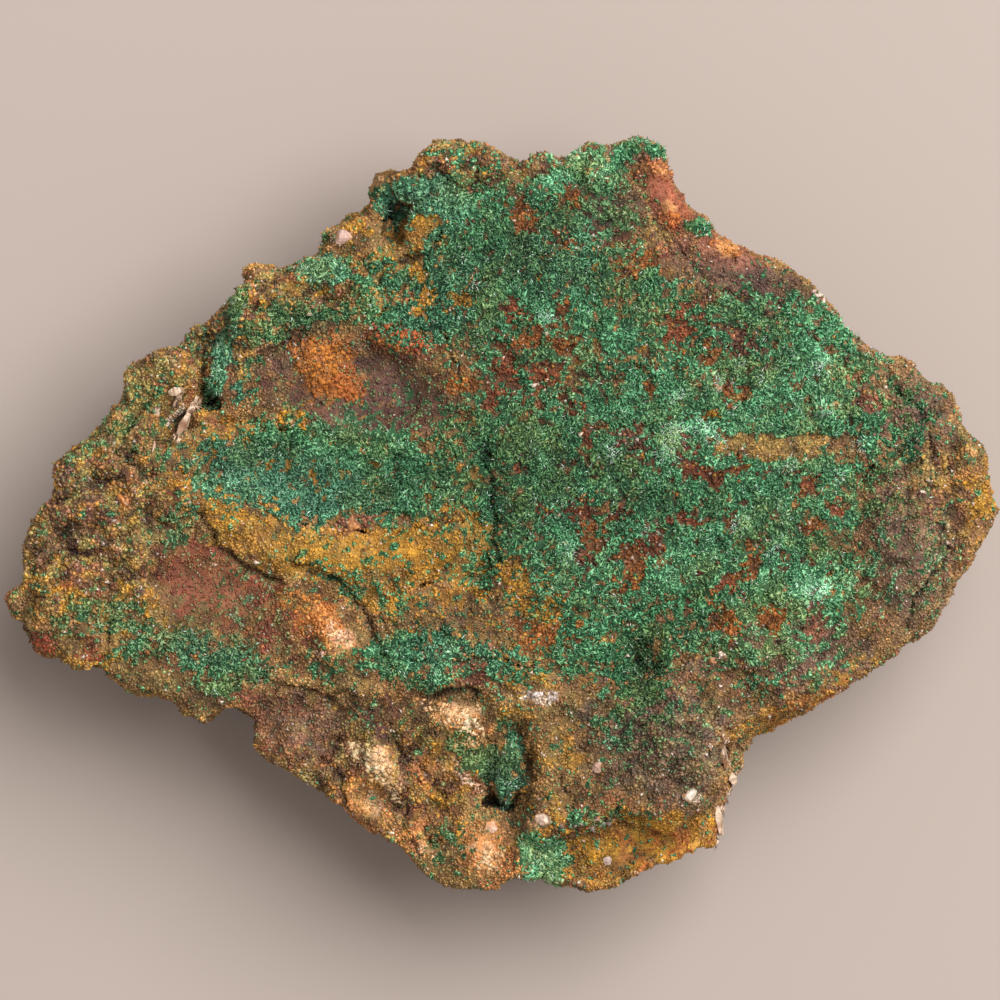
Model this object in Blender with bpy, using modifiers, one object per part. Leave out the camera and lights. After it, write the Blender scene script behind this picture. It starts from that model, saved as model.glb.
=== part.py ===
"""A flat slab of iron-stained rock with a malachite crust grown over its face and a few white
calcite blades. It lies on its broken back with the crusted face up.

Metres, +Z up. X runs along the slab, Y across it, and the origin is under its middle. The
places and sizes below are in millimetres and are turned to metres where shapes are made."""

import math

import bmesh
import bpy
import numpy as np
from mathutils import Matrix, Vector, noise

MM = 0.001

# The slab's greatest length and width
LENGTH = 115.0
WIDTH = 87.5

# Heights above the surface that the slab lies on
FACE_LEVEL = 23.0
BLANK_BOTTOM = -3.0
WIDEST_AT = 15.5

# How far the forms of the face stray from the lines drawn for them, and how often
WANDER = 1.7
WANDER_SIZE = 5.5

# The slab's edge
RIM_ROUND = 2.6
RIM_DROP = 2.0
UNDERCUT = 4.5
UNDERCUT_VARIES = 2.6
UNDERCUT_SIZE = 17.0
UNDERCUT_DEEP = 14.0

# The broken back: cut flat where it rests, with breaks that rise from there to the edges.
# Each break has the way it faces in degrees, how far out it starts, and its slope
REST_DEPTH = 0.0
BREAKS = (
    (8.0, 33.0, 0.52), (52.0, 27.0, 0.80), (84.0, 20.0, 0.42), (118.0, 25.0, 0.70),
    (158.0, 31.0, 0.50), (192.0, 37.0, 0.85), (223.0, 22.0, 0.48), (262.0, 19.0, 0.66),
    (291.0, 25.0, 0.95), (328.0, 27.0, 0.60),
)
BACK_CHIPPED = 2.5
BACK_CHIPPED_WIDE = 6.0
BACK_ROUGH = 1.7
BACK_ROUGH_SIZE = 11.0
# Where the back is sure to be flat: x, y, half length, half width
RESTS = (
    (1.0, -0.5, 13.0, 10.0), (-24.0, 2.0, 8.0, 7.0), (23.0, 6.0, 9.0, 7.0), (6.0, -17.0, 8.0, 5.0),
    (2.0, 17.0, 8.0, 5.0),
)
REST_PRESS = 3.0

# Mesh sizes
CAST_VOXEL = 1.05
HEALED_VOXEL = 0.7
SLAB_TRIANGLES = 6750
SEAT_STEP = 5.0
SEAT_TOP = 35.0

# The crust
CRUST_THICKNESS = 1.7
EDGE_STEP = 2.4
EDGE_RAGGED = 1.5
GAP = 0.3
WELD = 0.01

# A six-sided bar is this much narrower across its flats than across its corners
BLADE_FLATS = 2.0 / math.sqrt(3.0)

# The slab's outline, clockwise from its left tip
OUTLINE = (
    (-57.6, -9.5), (-57.1, -8.4), (-55.2, -7.6), (-55.0, -6.0), (-55.3, -2.8), (-53.8, -1.1),
    (-52.3, 1.9), (-51.2, 3.5), (-51.2, 5.9), (-49.5, 7.3), (-48.4, 8.9), (-46.0, 10.4),
    (-44.5, 12.7), (-42.8, 13.5), (-43.2, 15.4), (-42.6, 17.4), (-40.8, 18.7), (-37.8, 19.9),
    (-36.3, 21.0), (-35.0, 22.5), (-33.5, 22.6), (-31.2, 24.3), (-29.5, 25.9), (-29.9, 28.2),
    (-28.5, 29.4), (-26.1, 29.1), (-24.7, 28.5), (-22.7, 29.8), (-19.8, 29.9), (-20.2, 32.4),
    (-18.8, 33.6), (-16.5, 35.1), (-15.6, 35.1), (-14.0, 38.8), (-11.9, 39.3), (-9.1, 40.9),
    (-8.8, 41.9), (-6.9, 43.2), (-4.7, 43.3), (-2.8, 43.0), (-1.0, 42.6), (1.4, 41.0),
    (2.4, 40.7), (5.0, 42.0), (6.9, 41.6), (7.7, 41.2), (9.8, 42.6), (12.5, 42.5),
    (15.4, 43.6), (18.5, 42.8), (19.3, 41.1), (20.5, 38.4), (22.2, 35.5), (24.1, 34.5),
    (25.4, 32.4), (28.5, 30.9), (31.2, 29.6), (34.3, 28.2), (36.3, 27.6), (37.1, 25.7),
    (38.5, 24.1), (39.9, 22.2), (42.4, 20.0), (45.5, 18.6), (47.5, 17.8), (49.2, 16.0),
    (51.1, 15.5), (52.5, 13.9), (53.4, 10.9), (54.3, 9.8), (56.1, 7.5), (56.5, 5.0),
    (56.5, 3.3), (57.5, 1.1), (57.3, -1.4), (55.8, -3.3), (54.4, -5.8), (52.3, -8.9),
    (51.3, -11.2), (49.6, -13.2), (47.3, -14.9), (45.3, -16.6), (44.0, -18.6), (41.6, -19.9),
    (37.6, -21.7), (34.8, -23.1), (32.0, -24.6), (29.1, -26.1), (28.6, -27.4), (28.7, -29.0),
    (27.2, -31.5), (26.3, -32.7), (26.0, -35.2), (25.1, -38.7), (22.7, -39.0), (19.4, -40.4),
    (16.4, -41.9), (13.3, -43.6), (9.4, -43.4), (5.9, -42.7), (2.4, -42.2), (-0.6, -43.4),
    (-5.0, -43.8), (-7.6, -43.0), (-9.5, -40.9), (-11.7, -38.6), (-14.8, -36.5), (-17.5, -34.9),
    (-20.4, -32.7), (-23.8, -30.7), (-27.1, -28.0), (-28.9, -27.3), (-28.9, -25.2),
    (-28.7, -23.6), (-30.6, -22.5), (-31.9, -22.5), (-32.9, -24.5), (-34.4, -24.6),
    (-36.9, -22.0), (-39.9, -21.1), (-42.4, -20.9), (-44.7, -19.2), (-45.9, -18.0),
    (-48.2, -18.8), (-50.4, -16.8), (-53.3, -16.5), (-54.3, -14.1), (-54.9, -12.4),
    (-56.7, -10.9),
)

# Where the crust covers the face, clockwise from the left end of the teal dish
CRUST_EDGE = (
    (-38.5, 5.5), (-37.0, 8.6), (-33.0, 10.6), (-27.0, 10.0), (-21.0, 9.4), (-15.0, 8.2),
    (-8.0, 8.3), (-4.5, 10.0), (-4.2, 14.0), (-5.6, 19.0), (-8.0, 24.0), (-8.0, 28.5),
    (-5.5, 33.0), (-3.0, 36.6), (1.5, 38.0), (6.0, 38.8), (12.0, 39.6), (15.0, 39.0),
    (16.5, 35.5), (18.5, 31.5), (23.0, 27.5), (28.0, 25.0), (34.0, 22.0), (38.5, 17.5),
    (42.5, 13.0), (45.0, 9.0), (42.4, 4.5), (40.8, -1.0), (38.0, -5.5), (35.0, -10.6),
    (30.0, -9.5), (24.0, -8.5), (18.5, -9.5), (13.2, -13.0), (9.0, -16.2), (3.5, -17.0),
    (-2.0, -16.4), (-8.0, -17.0), (-13.3, -15.0), (-13.3, -10.5), (-8.5, -8.0), (-2.5, -7.5),
    (-1.2, -4.0), (-2.0, 0.4), (-8.0, -1.2), (-14.0, -2.2), (-21.0, -2.0), (-27.0, 0.2),
    (-33.0, 3.3),
)

# How sharply a rise, a furrow and the end of a ledge run out
SWELL_STEEPNESS = 1.6
FURROW_FLAT = 1.3
LEDGE_END = 5.0

# Rises and hollows of the face: x, y, half length, half width, turn in degrees, height
SWELLS = (
    (12.0, 6.0, 40.0, 26.0, 0.0, 1.2),      # the whole middle stands a little higher
    (-20.0, 4.6, 19.0, 6.8, -6.0, -2.6),    # teal dish
    (-15.5, 15.0, 12.0, 7.2, -8.0, -2.6),   # dark red bowl
    (-20.0, 17.0, 3.6, 3.0, 0.0, 1.7),      # orange lump in the bowl
    (-11.5, 34.0, 4.4, 2.8, 55.0, -5.0),    # cavity near the top
    (-5.0, 40.6, 5.5, 3.0, 0.0, 1.6),       # lump above the cavity
    (-9.8, 31.8, 3.6, 1.4, 32.0, 1.4),      # ochre ridge below the cavity
    (-33.6, 13.6, 1.9, 1.9, 45.0, -6.5),    # black hole
    (-20.0, -13.0, 5.5, 3.0, -42.0, 1.4),   # cream and orange lump
    (-32.0, -9.0, 9.0, 6.0, -15.0, -1.0),   # smooth red ground
    (-47.0, 3.0, 6.0, 4.5, 40.0, 1.3),      # lumps along the left rim
    (-49.0, -10.0, 6.5, 5.0, 10.0, 1.2),
    (-36.5, 16.5, 3.6, 2.6, 35.0, 1.5),
    (-25.0, 24.5, 5.0, 3.2, 15.0, 1.7),
    (16.0, -17.0, 3.4, 4.0, 10.0, -3.0),    # green pit beside the block
    (20.5, -23.0, 7.5, 9.0, 0.0, 2.0),      # block at the lower right
    (31.0, -16.0, 9.0, 4.5, -25.0, 1.2),
    (46.6, -3.0, 4.6, 8.6, 8.0, 1.5),       # brown plate at the right
    (39.9, -9.8, 1.4, 1.2, 0.0, -1.8),
    (51.5, -5.0, 0.8, 2.0, -20.0, -2.2),
    (26.0, 28.6, 9.0, 3.4, -22.0, 1.0),     # brown bank at the upper right
    (0.0, -32.8, 2.7, 1.6, -20.0, -5.5),    # black hole beside the groove
    (-13.5, -28.5, 4.2, 3.0, 50.0, 1.5),    # cream lumps of the lower lobe
    (-5.0, -22.8, 4.0, 2.2, 10.0, 1.5),
    (-15.0, -33.0, 4.0, 2.2, -30.0, 1.2),
    (-1.8, -39.0, 2.9, 2.6, 0.0, 1.5),
    (12.0, -39.0, 3.0, 1.8, 0.0, 1.2),
)

# Narrow grooves and ridges: the points they follow, half width, height
OCHRE_RIDGE = ((-38.0, 3.0), (-33.0, 1.5), (-28.0, -2.0), (-22.0, -4.5), (-15.0, -5.0), (-8.0, -3.5))
FISSURE = ((-31.0, 22.0), (-32.5, 19.0), (-33.8, 15.5))
GROOVE = ((2.6, -25.0), (2.8, -30.0), (2.3, -36.0))
CAVITY_CRACK = ((-10.8, 36.0), (-12.7, 32.3))
SLIT = ((-8.0, -20.5), (-3.0, -20.5))
FURROWS = (
    (OCHRE_RIDGE, 2.6, 1.1),
    (FISSURE, 1.4, -3.0),
    (GROOVE, 1.7, -4.0),
    (CAVITY_CRACK, 1.0, -2.0),
    (SLIT, 1.0, -1.6),
)

# Ledges: the lines that they follow, with the lower ground on the right
LOBE_LEDGE = (
    (-40.0, -36.0), (-31.6, -23.5), (-30.6, -21.2), (-24.0, -20.2), (-17.0, -21.0),
    (-10.0, -19.9), (-3.0, -20.3), (0.6, -23.5), (1.4, -30.0), (2.0, -37.0), (2.4, -48.0),
)
APRON_LEDGE = (
    (3.0, -48.0), (3.4, -37.0), (9.0, -34.8), (16.0, -34.3), (22.5, -33.8), (25.0, -30.5),
    (25.4, -25.0), (30.0, -23.0), (34.4, -21.7), (38.5, -20.3), (42.4, -18.6), (46.6, -15.6),
    (51.6, -10.5), (57.2, -4.6), (62.0, -2.0),
)
CENTRE_STEP = ((0.0, 5.0), (-0.8, 1.0), (-0.4, -3.0), (-0.8, -7.0))
PLATE_STEP = ((42.6, 4.5), (42.4, 0.0), (41.2, -4.0), (38.5, -7.0))
UPPER_RIM_STEP = ((-40.0, 13.0), (-37.0, 12.4), (-34.5, 11.4), (-29.0, 12.2))
# Each with its drop, the width of the step, how far the ground goes on falling for each
# millimetre beyond it, and how far from the line it dies away
FAR = 1000.0
LEDGES = (
    (LOBE_LEDGE, 2.3, 1.4, 0.0, FAR),
    (APRON_LEDGE, 3.0, 1.6, 0.55, FAR),
    (CENTRE_STEP, 1.0, 0.8, 0.0, 5.0),
    (PLATE_STEP, 0.9, 0.8, 0.0, 4.0),
    (UPPER_RIM_STEP, 1.4, 1.0, 0.0, 5.0),
)

# Lumps of two sizes: width, height, and where their pattern starts. Then finer broken grain
LUMP_SIZES = ((3.4, 1.9, 2.0), (6.5, 1.3, 9.0))
LUMPS_ANYWHERE = 0.38
LUMPS_ON_SIDES = 0.9
GRAIN_SIZE = 2.6
GRAIN_HEIGHT = 0.4

# Lumpy ground: x, y, half length, half width, how much the lumps grow there
LUMPY = (
    (-47.0, 0.0, 14.0, 19.0, 1.4),
    (-30.0, 22.0, 18.0, 9.0, 1.5),
    (-6.0, 40.0, 17.0, 7.0, 1.4),
    (12.0, 41.0, 14.0, 5.0, 1.1),
    (-15.0, -31.0, 17.0, 12.0, 1.2),
    (49.0, 2.0, 10.0, 17.0, 1.0),
    (12.0, -39.0, 16.0, 6.0, 0.9),
    (25.0, -19.0, 14.0, 12.0, 0.8),
)

# White blades: name, middle of the top x, y and z, length, width, depth into the rock,
# turn in degrees, and how far the far end dips in degrees
BLADES = (
    ("calcite_blade_edge_upper", (25.7, -27.5, 21.3), (5.2, 0.9, 3.0), -80.0, 33.0),
    ("calcite_blade_edge_middle", (26.8, -30.2, 18.6), (2.6, 1.1, 3.0), -68.0, 12.0),
    ("calcite_blade_edge_lower", (25.2, -34.9, 18.8), (4.8, 1.1, 3.2), -83.0, 0.0),
    ("calcite_blade_hole_upper", (-36.9, 14.1, 24.4), (2.5, 1.2, 2.4), 15.0, -8.0),
    ("calcite_blade_hole_lower", (-36.1, 10.2, 23.3), (4.0, 1.1, 2.4), 64.0, -6.0),
)


def clear_scene():
    for item in list(bpy.data.objects):
        bpy.data.objects.remove(item, do_unlink=True)


def new_collection(name):
    collection = bpy.data.collections.new(name)
    bpy.context.scene.collection.children.link(collection)
    return collection


def stone(name, colour, roughness):
    material = bpy.data.materials.new(name)
    material.use_nodes = True
    shader = material.node_tree.nodes["Principled BSDF"]
    shader.inputs["Base Color"].default_value = (*colour, 1.0)
    shader.inputs["Roughness"].default_value = roughness
    shader.inputs["Metallic"].default_value = 0.0
    return material


def points_of(mesh):
    flat = np.empty(len(mesh.vertices) * 3, np.float32)
    mesh.vertices.foreach_get("co", flat)
    return flat.reshape(-1, 3).astype(float) / MM


def move_points(mesh, places):
    mesh.vertices.foreach_set("co", (places * MM).astype(np.float32).ravel())
    mesh.update()


def to_path(x, y, path, closed=False):
    """Distance of each place to a path, and which side it is on, +1 on the left."""
    near = np.full(x.shape, np.inf)
    side = np.ones(x.shape)
    ends = path[1:] + path[:1] if closed else path[1:]
    for (ax, ay), (bx, by) in zip(path, ends):
        dx, dy = bx - ax, by - ay
        along = np.clip(((x - ax) * dx + (y - ay) * dy) / (dx * dx + dy * dy), 0.0, 1.0)
        away = np.hypot(x - ax - along * dx, y - ay - along * dy)
        closer = away < near
        near = np.where(closer, away, near)
        side = np.where(closer, np.sign(dx * (y - ay) - dy * (x - ax)), side)
    return near, side


def inside(x, y, outline):
    found = np.zeros(x.shape, bool)
    for (ax, ay), (bx, by) in zip(outline, outline[1:] + outline[:1]):
        if ay != by:
            crosses = (ay > y) != (by > y)
            found ^= crosses & (x < (bx - ax) * (y - ay) / (by - ay) + ax)
    return found


def smooth_step(value):
    value = np.clip(value, 0.0, 1.0)
    return value * value * (3.0 - 2.0 * value)


def swell(x, y, cx, cy, half_length, half_width, turn):
    """1 at the middle of a turned ellipse, falling to 0 at its edge."""
    angle = math.radians(turn)
    along = (x - cx) * math.cos(angle) + (y - cy) * math.sin(angle)
    across = (y - cy) * math.cos(angle) - (x - cx) * math.sin(angle)
    away = np.hypot(along / half_length, across / half_width)
    return smooth_step((1.0 - away) * SWELL_STEEPNESS)


def ledge(x, y, path, drop, width, slope, reach):
    """How far the ground falls on the right of a path."""
    near, side = to_path(x, y, path)
    beyond = -side * near
    fall = drop * smooth_step(beyond / width + 0.5) + slope * np.maximum(beyond, 0.0)
    return fall * smooth_step((reach - near) / min(reach, LEDGE_END))


def lumps(places, size, seed):
    """Rounded lumps set side by side, 0 between them and 1 on top."""
    shift = Vector((seed, seed * 1.7, -seed))
    found = [noise.voronoi(Vector(p) / size + shift)[0][0] for p in places]
    return 1.0 - np.minimum(np.array(found), 1.0)


def roughness(places, size, seed, octaves=3):
    shift = Vector((-seed, seed * 0.6, seed * 1.3))
    return np.array([
        noise.fractal(Vector(p) / size + shift, 0.9, 2.0, octaves) for p in places
    ])


def face_height(x, y):
    """The crusted face, without its smaller lumps. Its forms wander a little, as if torn."""
    places = [Vector((*place, 0.0)) / WANDER_SIZE for place in zip(x, y)]
    x = x + WANDER * np.array([noise.noise(place) for place in places])
    y = y + WANDER * np.array([noise.noise(-place) for place in places])
    height = np.full(x.shape, FACE_LEVEL)
    for cx, cy, half_length, half_width, turn, rise in SWELLS:
        height += rise * swell(x, y, cx, cy, half_length, half_width, turn)
    for path, half_width, rise in FURROWS:
        height += rise * smooth_step(FURROW_FLAT - to_path(x, y, path)[0] / half_width)
    for one_ledge in LEDGES:
        height -= ledge(x, y, *one_ledge)
    return height


def back_height(x, y, edge):
    """The broken back: under 0 where it is cut flat, rising break by break to the edge."""
    height = np.full(x.shape, -REST_DEPTH)
    for facing, start, slope in BREAKS:
        angle = math.radians(facing)
        beyond = x * math.cos(angle) + y * math.sin(angle) - start
        height = np.maximum(height, beyond * slope - REST_DEPTH)
    height += BACK_CHIPPED * smooth_step(1.0 - edge / BACK_CHIPPED_WIDE)
    grain = np.stack([x, y, np.zeros(x.shape)], axis=1)
    height += BACK_ROUGH * roughness(grain, BACK_ROUGH_SIZE, 7.0, 3)
    for cx, cy, half_length, half_width in RESTS:
        height -= REST_PRESS * swell(x, y, cx, cy, half_length, half_width, 0.0)
    return height


def cut_out(name, path, bottom, top):
    """A closed prism over an outline."""
    curve = bpy.data.curves.new(name, "CURVE")
    curve.dimensions = "2D"
    curve.fill_mode = "BOTH"
    curve.extrude = (top - bottom) / 2 * MM
    line = curve.splines.new("POLY")
    line.points.add(len(path) - 1)
    for point, (x, y) in zip(line.points, path):
        point.co = (x * MM, y * MM, 0.0, 1.0)
    line.use_cyclic_u = True
    drawn = bpy.data.objects.new(name, curve)
    drawn.location.z = (top + bottom) / 2 * MM
    bpy.context.scene.collection.objects.link(drawn)
    bpy.context.view_layer.update()
    graph = bpy.context.evaluated_depsgraph_get()
    mesh = bpy.data.meshes.new_from_object(drawn.evaluated_get(graph))
    mesh.transform(drawn.matrix_world)
    bpy.data.objects.remove(drawn)
    bpy.data.curves.remove(curve)
    weld(mesh)
    return mesh


def weld(mesh):
    work = bmesh.new()
    work.from_mesh(mesh)
    bmesh.ops.remove_doubles(work, verts=work.verts, dist=WELD * MM)
    bmesh.ops.recalc_face_normals(work, faces=work.faces)
    work.to_mesh(mesh)
    work.free()


def set_down(name, mesh, collection):
    item = bpy.data.objects.new(name, mesh)
    collection.objects.link(item)
    return item


def add_boolean(item, operation, cutter):
    modifier = item.modifiers.new(operation.lower(), "BOOLEAN")
    modifier.operation = operation
    modifier.solver = "EXACT"
    modifier.object = cutter


def applied(item):
    """Puts the result of an object's modifiers in its mesh."""
    bpy.context.view_layer.update()
    graph = bpy.context.evaluated_depsgraph_get()
    mesh = bpy.data.meshes.new_from_object(item.evaluated_get(graph))
    item.modifiers.clear()
    item.data = mesh
    return item


def recast(item, voxel):
    """Gives an object one even skin, which also heals the places where it runs into itself."""
    remesh = item.modifiers.new("even_points", "REMESH")
    remesh.mode = "VOXEL"
    remesh.voxel_size = voxel * MM
    return applied(item)


def rough_block(guides):
    """The slab's blank, with points everywhere to shape."""
    blank = cut_out("slab_blank", OUTLINE, BLANK_BOTTOM, FACE_LEVEL)
    return recast(set_down("slab_blank", blank, guides), CAST_VOXEL)


def shape_slab(block):
    """Moves the blank's points to the worn and broken shape."""
    places = points_of(block.data)
    x, y, z = places.T
    edge = np.where(inside(x, y, OUTLINE), to_path(x, y, OUTLINE, closed=True)[0], 0.0)
    share = np.clip((z - BLANK_BOTTOM) / (FACE_LEVEL - BLANK_BOTTOM), 0.0, 1.0)

    rim = np.clip(1.0 - edge / RIM_ROUND, 0.0, 1.0)
    top = face_height(x, y) - RIM_DROP * (1.0 - np.sqrt(1.0 - rim * rim))
    back = back_height(x, y, edge)
    height = back + share * (top - back)

    # Below its widest level the side leans in towards the back, more at some places
    inward = np.stack([-x * WIDTH / LENGTH, -y], axis=1)
    inward /= np.maximum(np.linalg.norm(inward, axis=1, keepdims=True), 1.0)
    uneven = roughness(np.stack([x, y, z], axis=1), UNDERCUT_SIZE, 3.0, 2)
    below = np.clip((WIDEST_AT - height) / WIDEST_AT, 0.0, 1.0)
    lean = (UNDERCUT + UNDERCUT_VARIES * uneven) * below * smooth_step(1.0 - edge / UNDERCUT_DEEP)
    shifted = np.stack([x, y], axis=1) + inward * lean[:, None]
    move_points(block.data, np.column_stack([shifted, height]))


def roughen_slab(block):
    """Lumps and broken grain, pushed out along the surface."""
    places = points_of(block.data)
    x, y, _ = places.T
    normals = np.empty(len(places) * 3, np.float32)
    block.data.vertices.foreach_get("normal", normals)
    normals = normals.reshape(-1, 3)
    grown = np.full(len(places), LUMPS_ANYWHERE)
    for cx, cy, half_length, half_width, amount in LUMPY:
        grown = np.maximum(grown, amount * swell(x, y, cx, cy, half_length, half_width, 0.0))
    grown = np.maximum(grown, LUMPS_ON_SIDES * (1.0 - np.abs(normals[:, 2])))
    out = np.zeros(len(places))
    for size, height, seed in LUMP_SIZES:
        out += grown * height * (lumps(places, size, seed) - 0.5)
    out += GRAIN_HEIGHT * roughness(places, GRAIN_SIZE, 5.0)
    move_points(block.data, places + normals * out[:, None])


def thinned(block):
    """Thins out the faces of a mesh, most where it is plain."""
    block.data.calc_loop_triangles()
    thin = block.modifiers.new("thin", "DECIMATE")
    thin.ratio = SLAB_TRIANGLES / len(block.data.loop_triangles)
    thin.use_collapse_triangulate = True
    return applied(block)


def without_crumbs(item):
    """Keeps the largest shell of a mesh. Thinning can leave a loose sliver beside it."""
    work = bmesh.new()
    work.from_mesh(item.data)
    waiting, shells = set(work.faces), []
    while waiting:
        shell, edge_on = set(), [waiting.pop()]
        while edge_on:
            face = edge_on.pop()
            shell.add(face)
            near = {other for edge in face.edges for other in edge.link_faces}
            edge_on += near & waiting
            waiting -= near
        shells.append(shell)
    shells.sort(key=len)
    crumbs = [face for shell in shells[:-1] for face in shell]
    bmesh.ops.delete(work, geom=crumbs, context="FACES")
    work.to_mesh(item.data)
    work.free()


def ground_block(guides):
    """What is cut away under the slab, so that it rests on one plane."""
    height = 20.0
    bpy.ops.mesh.primitive_cube_add(size=1.0, location=(0.0, 0.0, -height / 2 * MM))
    ground = bpy.context.object
    ground.name = "ground_cut"
    ground.scale = (LENGTH * 2 * MM, WIDTH * 2 * MM, height * MM)
    bpy.ops.object.transform_apply(location=False, rotation=False, scale=True)
    move_to(ground, guides)
    return ground


def move_to(item, collection):
    for other in list(item.users_collection):
        other.objects.unlink(item)
    collection.objects.link(item)


def ragged(path, step, amount):
    """An outline with points added along it and moved in and out, as a broken edge runs."""
    found = []
    for (ax, ay), (bx, by) in zip(path, path[1:] + path[:1]):
        pieces = max(1, round(math.hypot(bx - ax, by - ay) / step))
        for piece in range(pieces):
            share = piece / pieces
            x, y = ax + (bx - ax) * share, ay + (by - ay) * share
            place = Vector((x, y, 0.0)) / (step * 1.3)
            found.append((x + noise.noise(place) * amount, y + noise.noise(-place) * amount))
    return tuple(found)


def drawn_in(path, distance):
    """An outline moved inwards, corner by corner. Its points run clockwise."""
    count = len(path)
    moved = []
    for index, (x, y) in enumerate(path):
        before = Vector(path[index - 1])
        after = Vector(path[(index + 1) % count])
        here = Vector((x, y))
        first = (here - before).normalized()
        second = (after - here).normalized()
        bisector = (Vector((first.y, -first.x)) + Vector((second.y, -second.x))).normalized()
        reach = distance / bisector.dot(Vector((first.y, -first.x)))
        moved.append(tuple(here + bisector * reach))
    return tuple(moved)


def crust_seat(name, lift, inset, guides):
    """The space over the crust's seat, which follows the face in broad facets."""
    work = bmesh.new()
    columns, rows = math.ceil(LENGTH / SEAT_STEP), math.ceil(WIDTH / SEAT_STEP)
    bmesh.ops.create_grid(work, x_segments=columns, y_segments=rows, size=0.5)
    x = np.array([vert.co.x for vert in work.verts]) * columns * SEAT_STEP
    y = np.array([vert.co.y for vert in work.verts]) * rows * SEAT_STEP
    floor = face_height(x, y) - CRUST_THICKNESS + lift
    for vert, *place in zip(work.verts, x, y, floor):
        vert.co = Vector(place) * MM
    sheet = bmesh.ops.triangulate(work, faces=list(work.faces))["faces"]
    lid = bmesh.ops.extrude_face_region(work, geom=sheet)
    for vert in (item for item in lid["geom"] if isinstance(item, bmesh.types.BMVert)):
        vert.co.z = SEAT_TOP * MM
    bmesh.ops.recalc_face_normals(work, faces=work.faces)
    mesh = bpy.data.meshes.new(name)
    work.to_mesh(mesh)
    work.free()
    seat = set_down(name, mesh, guides)
    edge = drawn_in(ragged(CRUST_EDGE, EDGE_STEP, EDGE_RAGGED), inset)
    prism = set_down(name + "_edge", cut_out(name, edge, WIDEST_AT, SEAT_TOP - 1.0), guides)
    add_boolean(seat, "INTERSECT", prism)
    applied(seat)
    weld(seat.data)
    return seat


def blade_mesh(name, top, size, turn, dip, grown):
    """One blade: a slim six-sided bar standing on edge, wider by grown on every side."""
    length, width, depth = size
    work = bmesh.new()
    bmesh.ops.create_cone(work, cap_ends=True, segments=6, radius1=0.5, radius2=0.4, depth=1.0)
    mesh = bpy.data.meshes.new(name)
    work.to_mesh(mesh)
    work.free()
    stretch = Matrix.Diagonal(
        (length + 2 * grown, width * BLADE_FLATS + 2 * grown, depth + 2 * grown, 1.0)
    )
    sunk = Matrix.Translation((0.0, 0.0, -depth / 2))
    spin = Matrix.Rotation(math.radians(turn), 4, "Z") @ Matrix.Rotation(math.radians(dip), 4, "Y")
    place = Matrix.Translation(Vector(top) * MM)
    mesh.transform(place @ spin @ Matrix.Scale(MM, 4) @ sunk @ stretch)
    return mesh


def copy_of(name, item, collection):
    return set_down(name, item.data.copy(), collection)


def finish_part(item, material):
    item.data.materials.clear()
    item.data.materials.append(material)
    item.data.shade_flat()


def hide_guides(guides):
    for item in guides.objects:
        item.hide_render = True
        item.display_type = "WIRE"


def centre_on_origin(slab, items):
    places = points_of(slab.data)
    middle = (places.min(axis=0) + places.max(axis=0)) / 2
    for item in items:
        item.location.x -= middle[0] * MM
        item.location.y -= middle[1] * MM


def main():
    clear_scene()
    parts = new_collection("malachite specimen")
    guides = new_collection("cutters")
    rock = stone("iron_stained_rock", (0.16, 0.075, 0.045), 0.9)
    green = stone("malachite", (0.028, 0.19, 0.10), 0.6)
    white = stone("calcite", (0.66, 0.57, 0.52), 0.45)

    slab = rough_block(guides)
    shape_slab(slab)
    roughen_slab(slab)
    recast(slab, HEALED_VOXEL)
    thinned(slab)
    without_crumbs(slab)
    add_boolean(slab, "DIFFERENCE", ground_block(guides))
    applied(slab)
    slab.name = "slab_form"

    matrix = copy_of("matrix", slab, parts)
    crust = copy_of("malachite_crust", slab, parts)
    add_boolean(matrix, "DIFFERENCE", crust_seat("crust_seat", 0.0, 0.0, guides))
    add_boolean(crust, "INTERSECT", crust_seat("crust_space", GAP, GAP, guides))
    finish_part(matrix, rock)
    finish_part(crust, green)
    for name, *shape in BLADES:
        finish_part(set_down(name, blade_mesh(name, *shape, 0.0), parts), white)
        socket_name = name + "_socket"
        socket = set_down(socket_name, blade_mesh(socket_name, *shape, GAP), guides)
        add_boolean(matrix, "DIFFERENCE", socket)
        add_boolean(crust, "DIFFERENCE", socket)
    centre_on_origin(slab, list(parts.objects) + list(guides.objects))
    hide_guides(guides)


main()
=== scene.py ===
import math

import bmesh
import bpy
import numpy as np
from mathutils import Matrix, Vector
from mathutils.bvhtree import BVHTree


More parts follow.
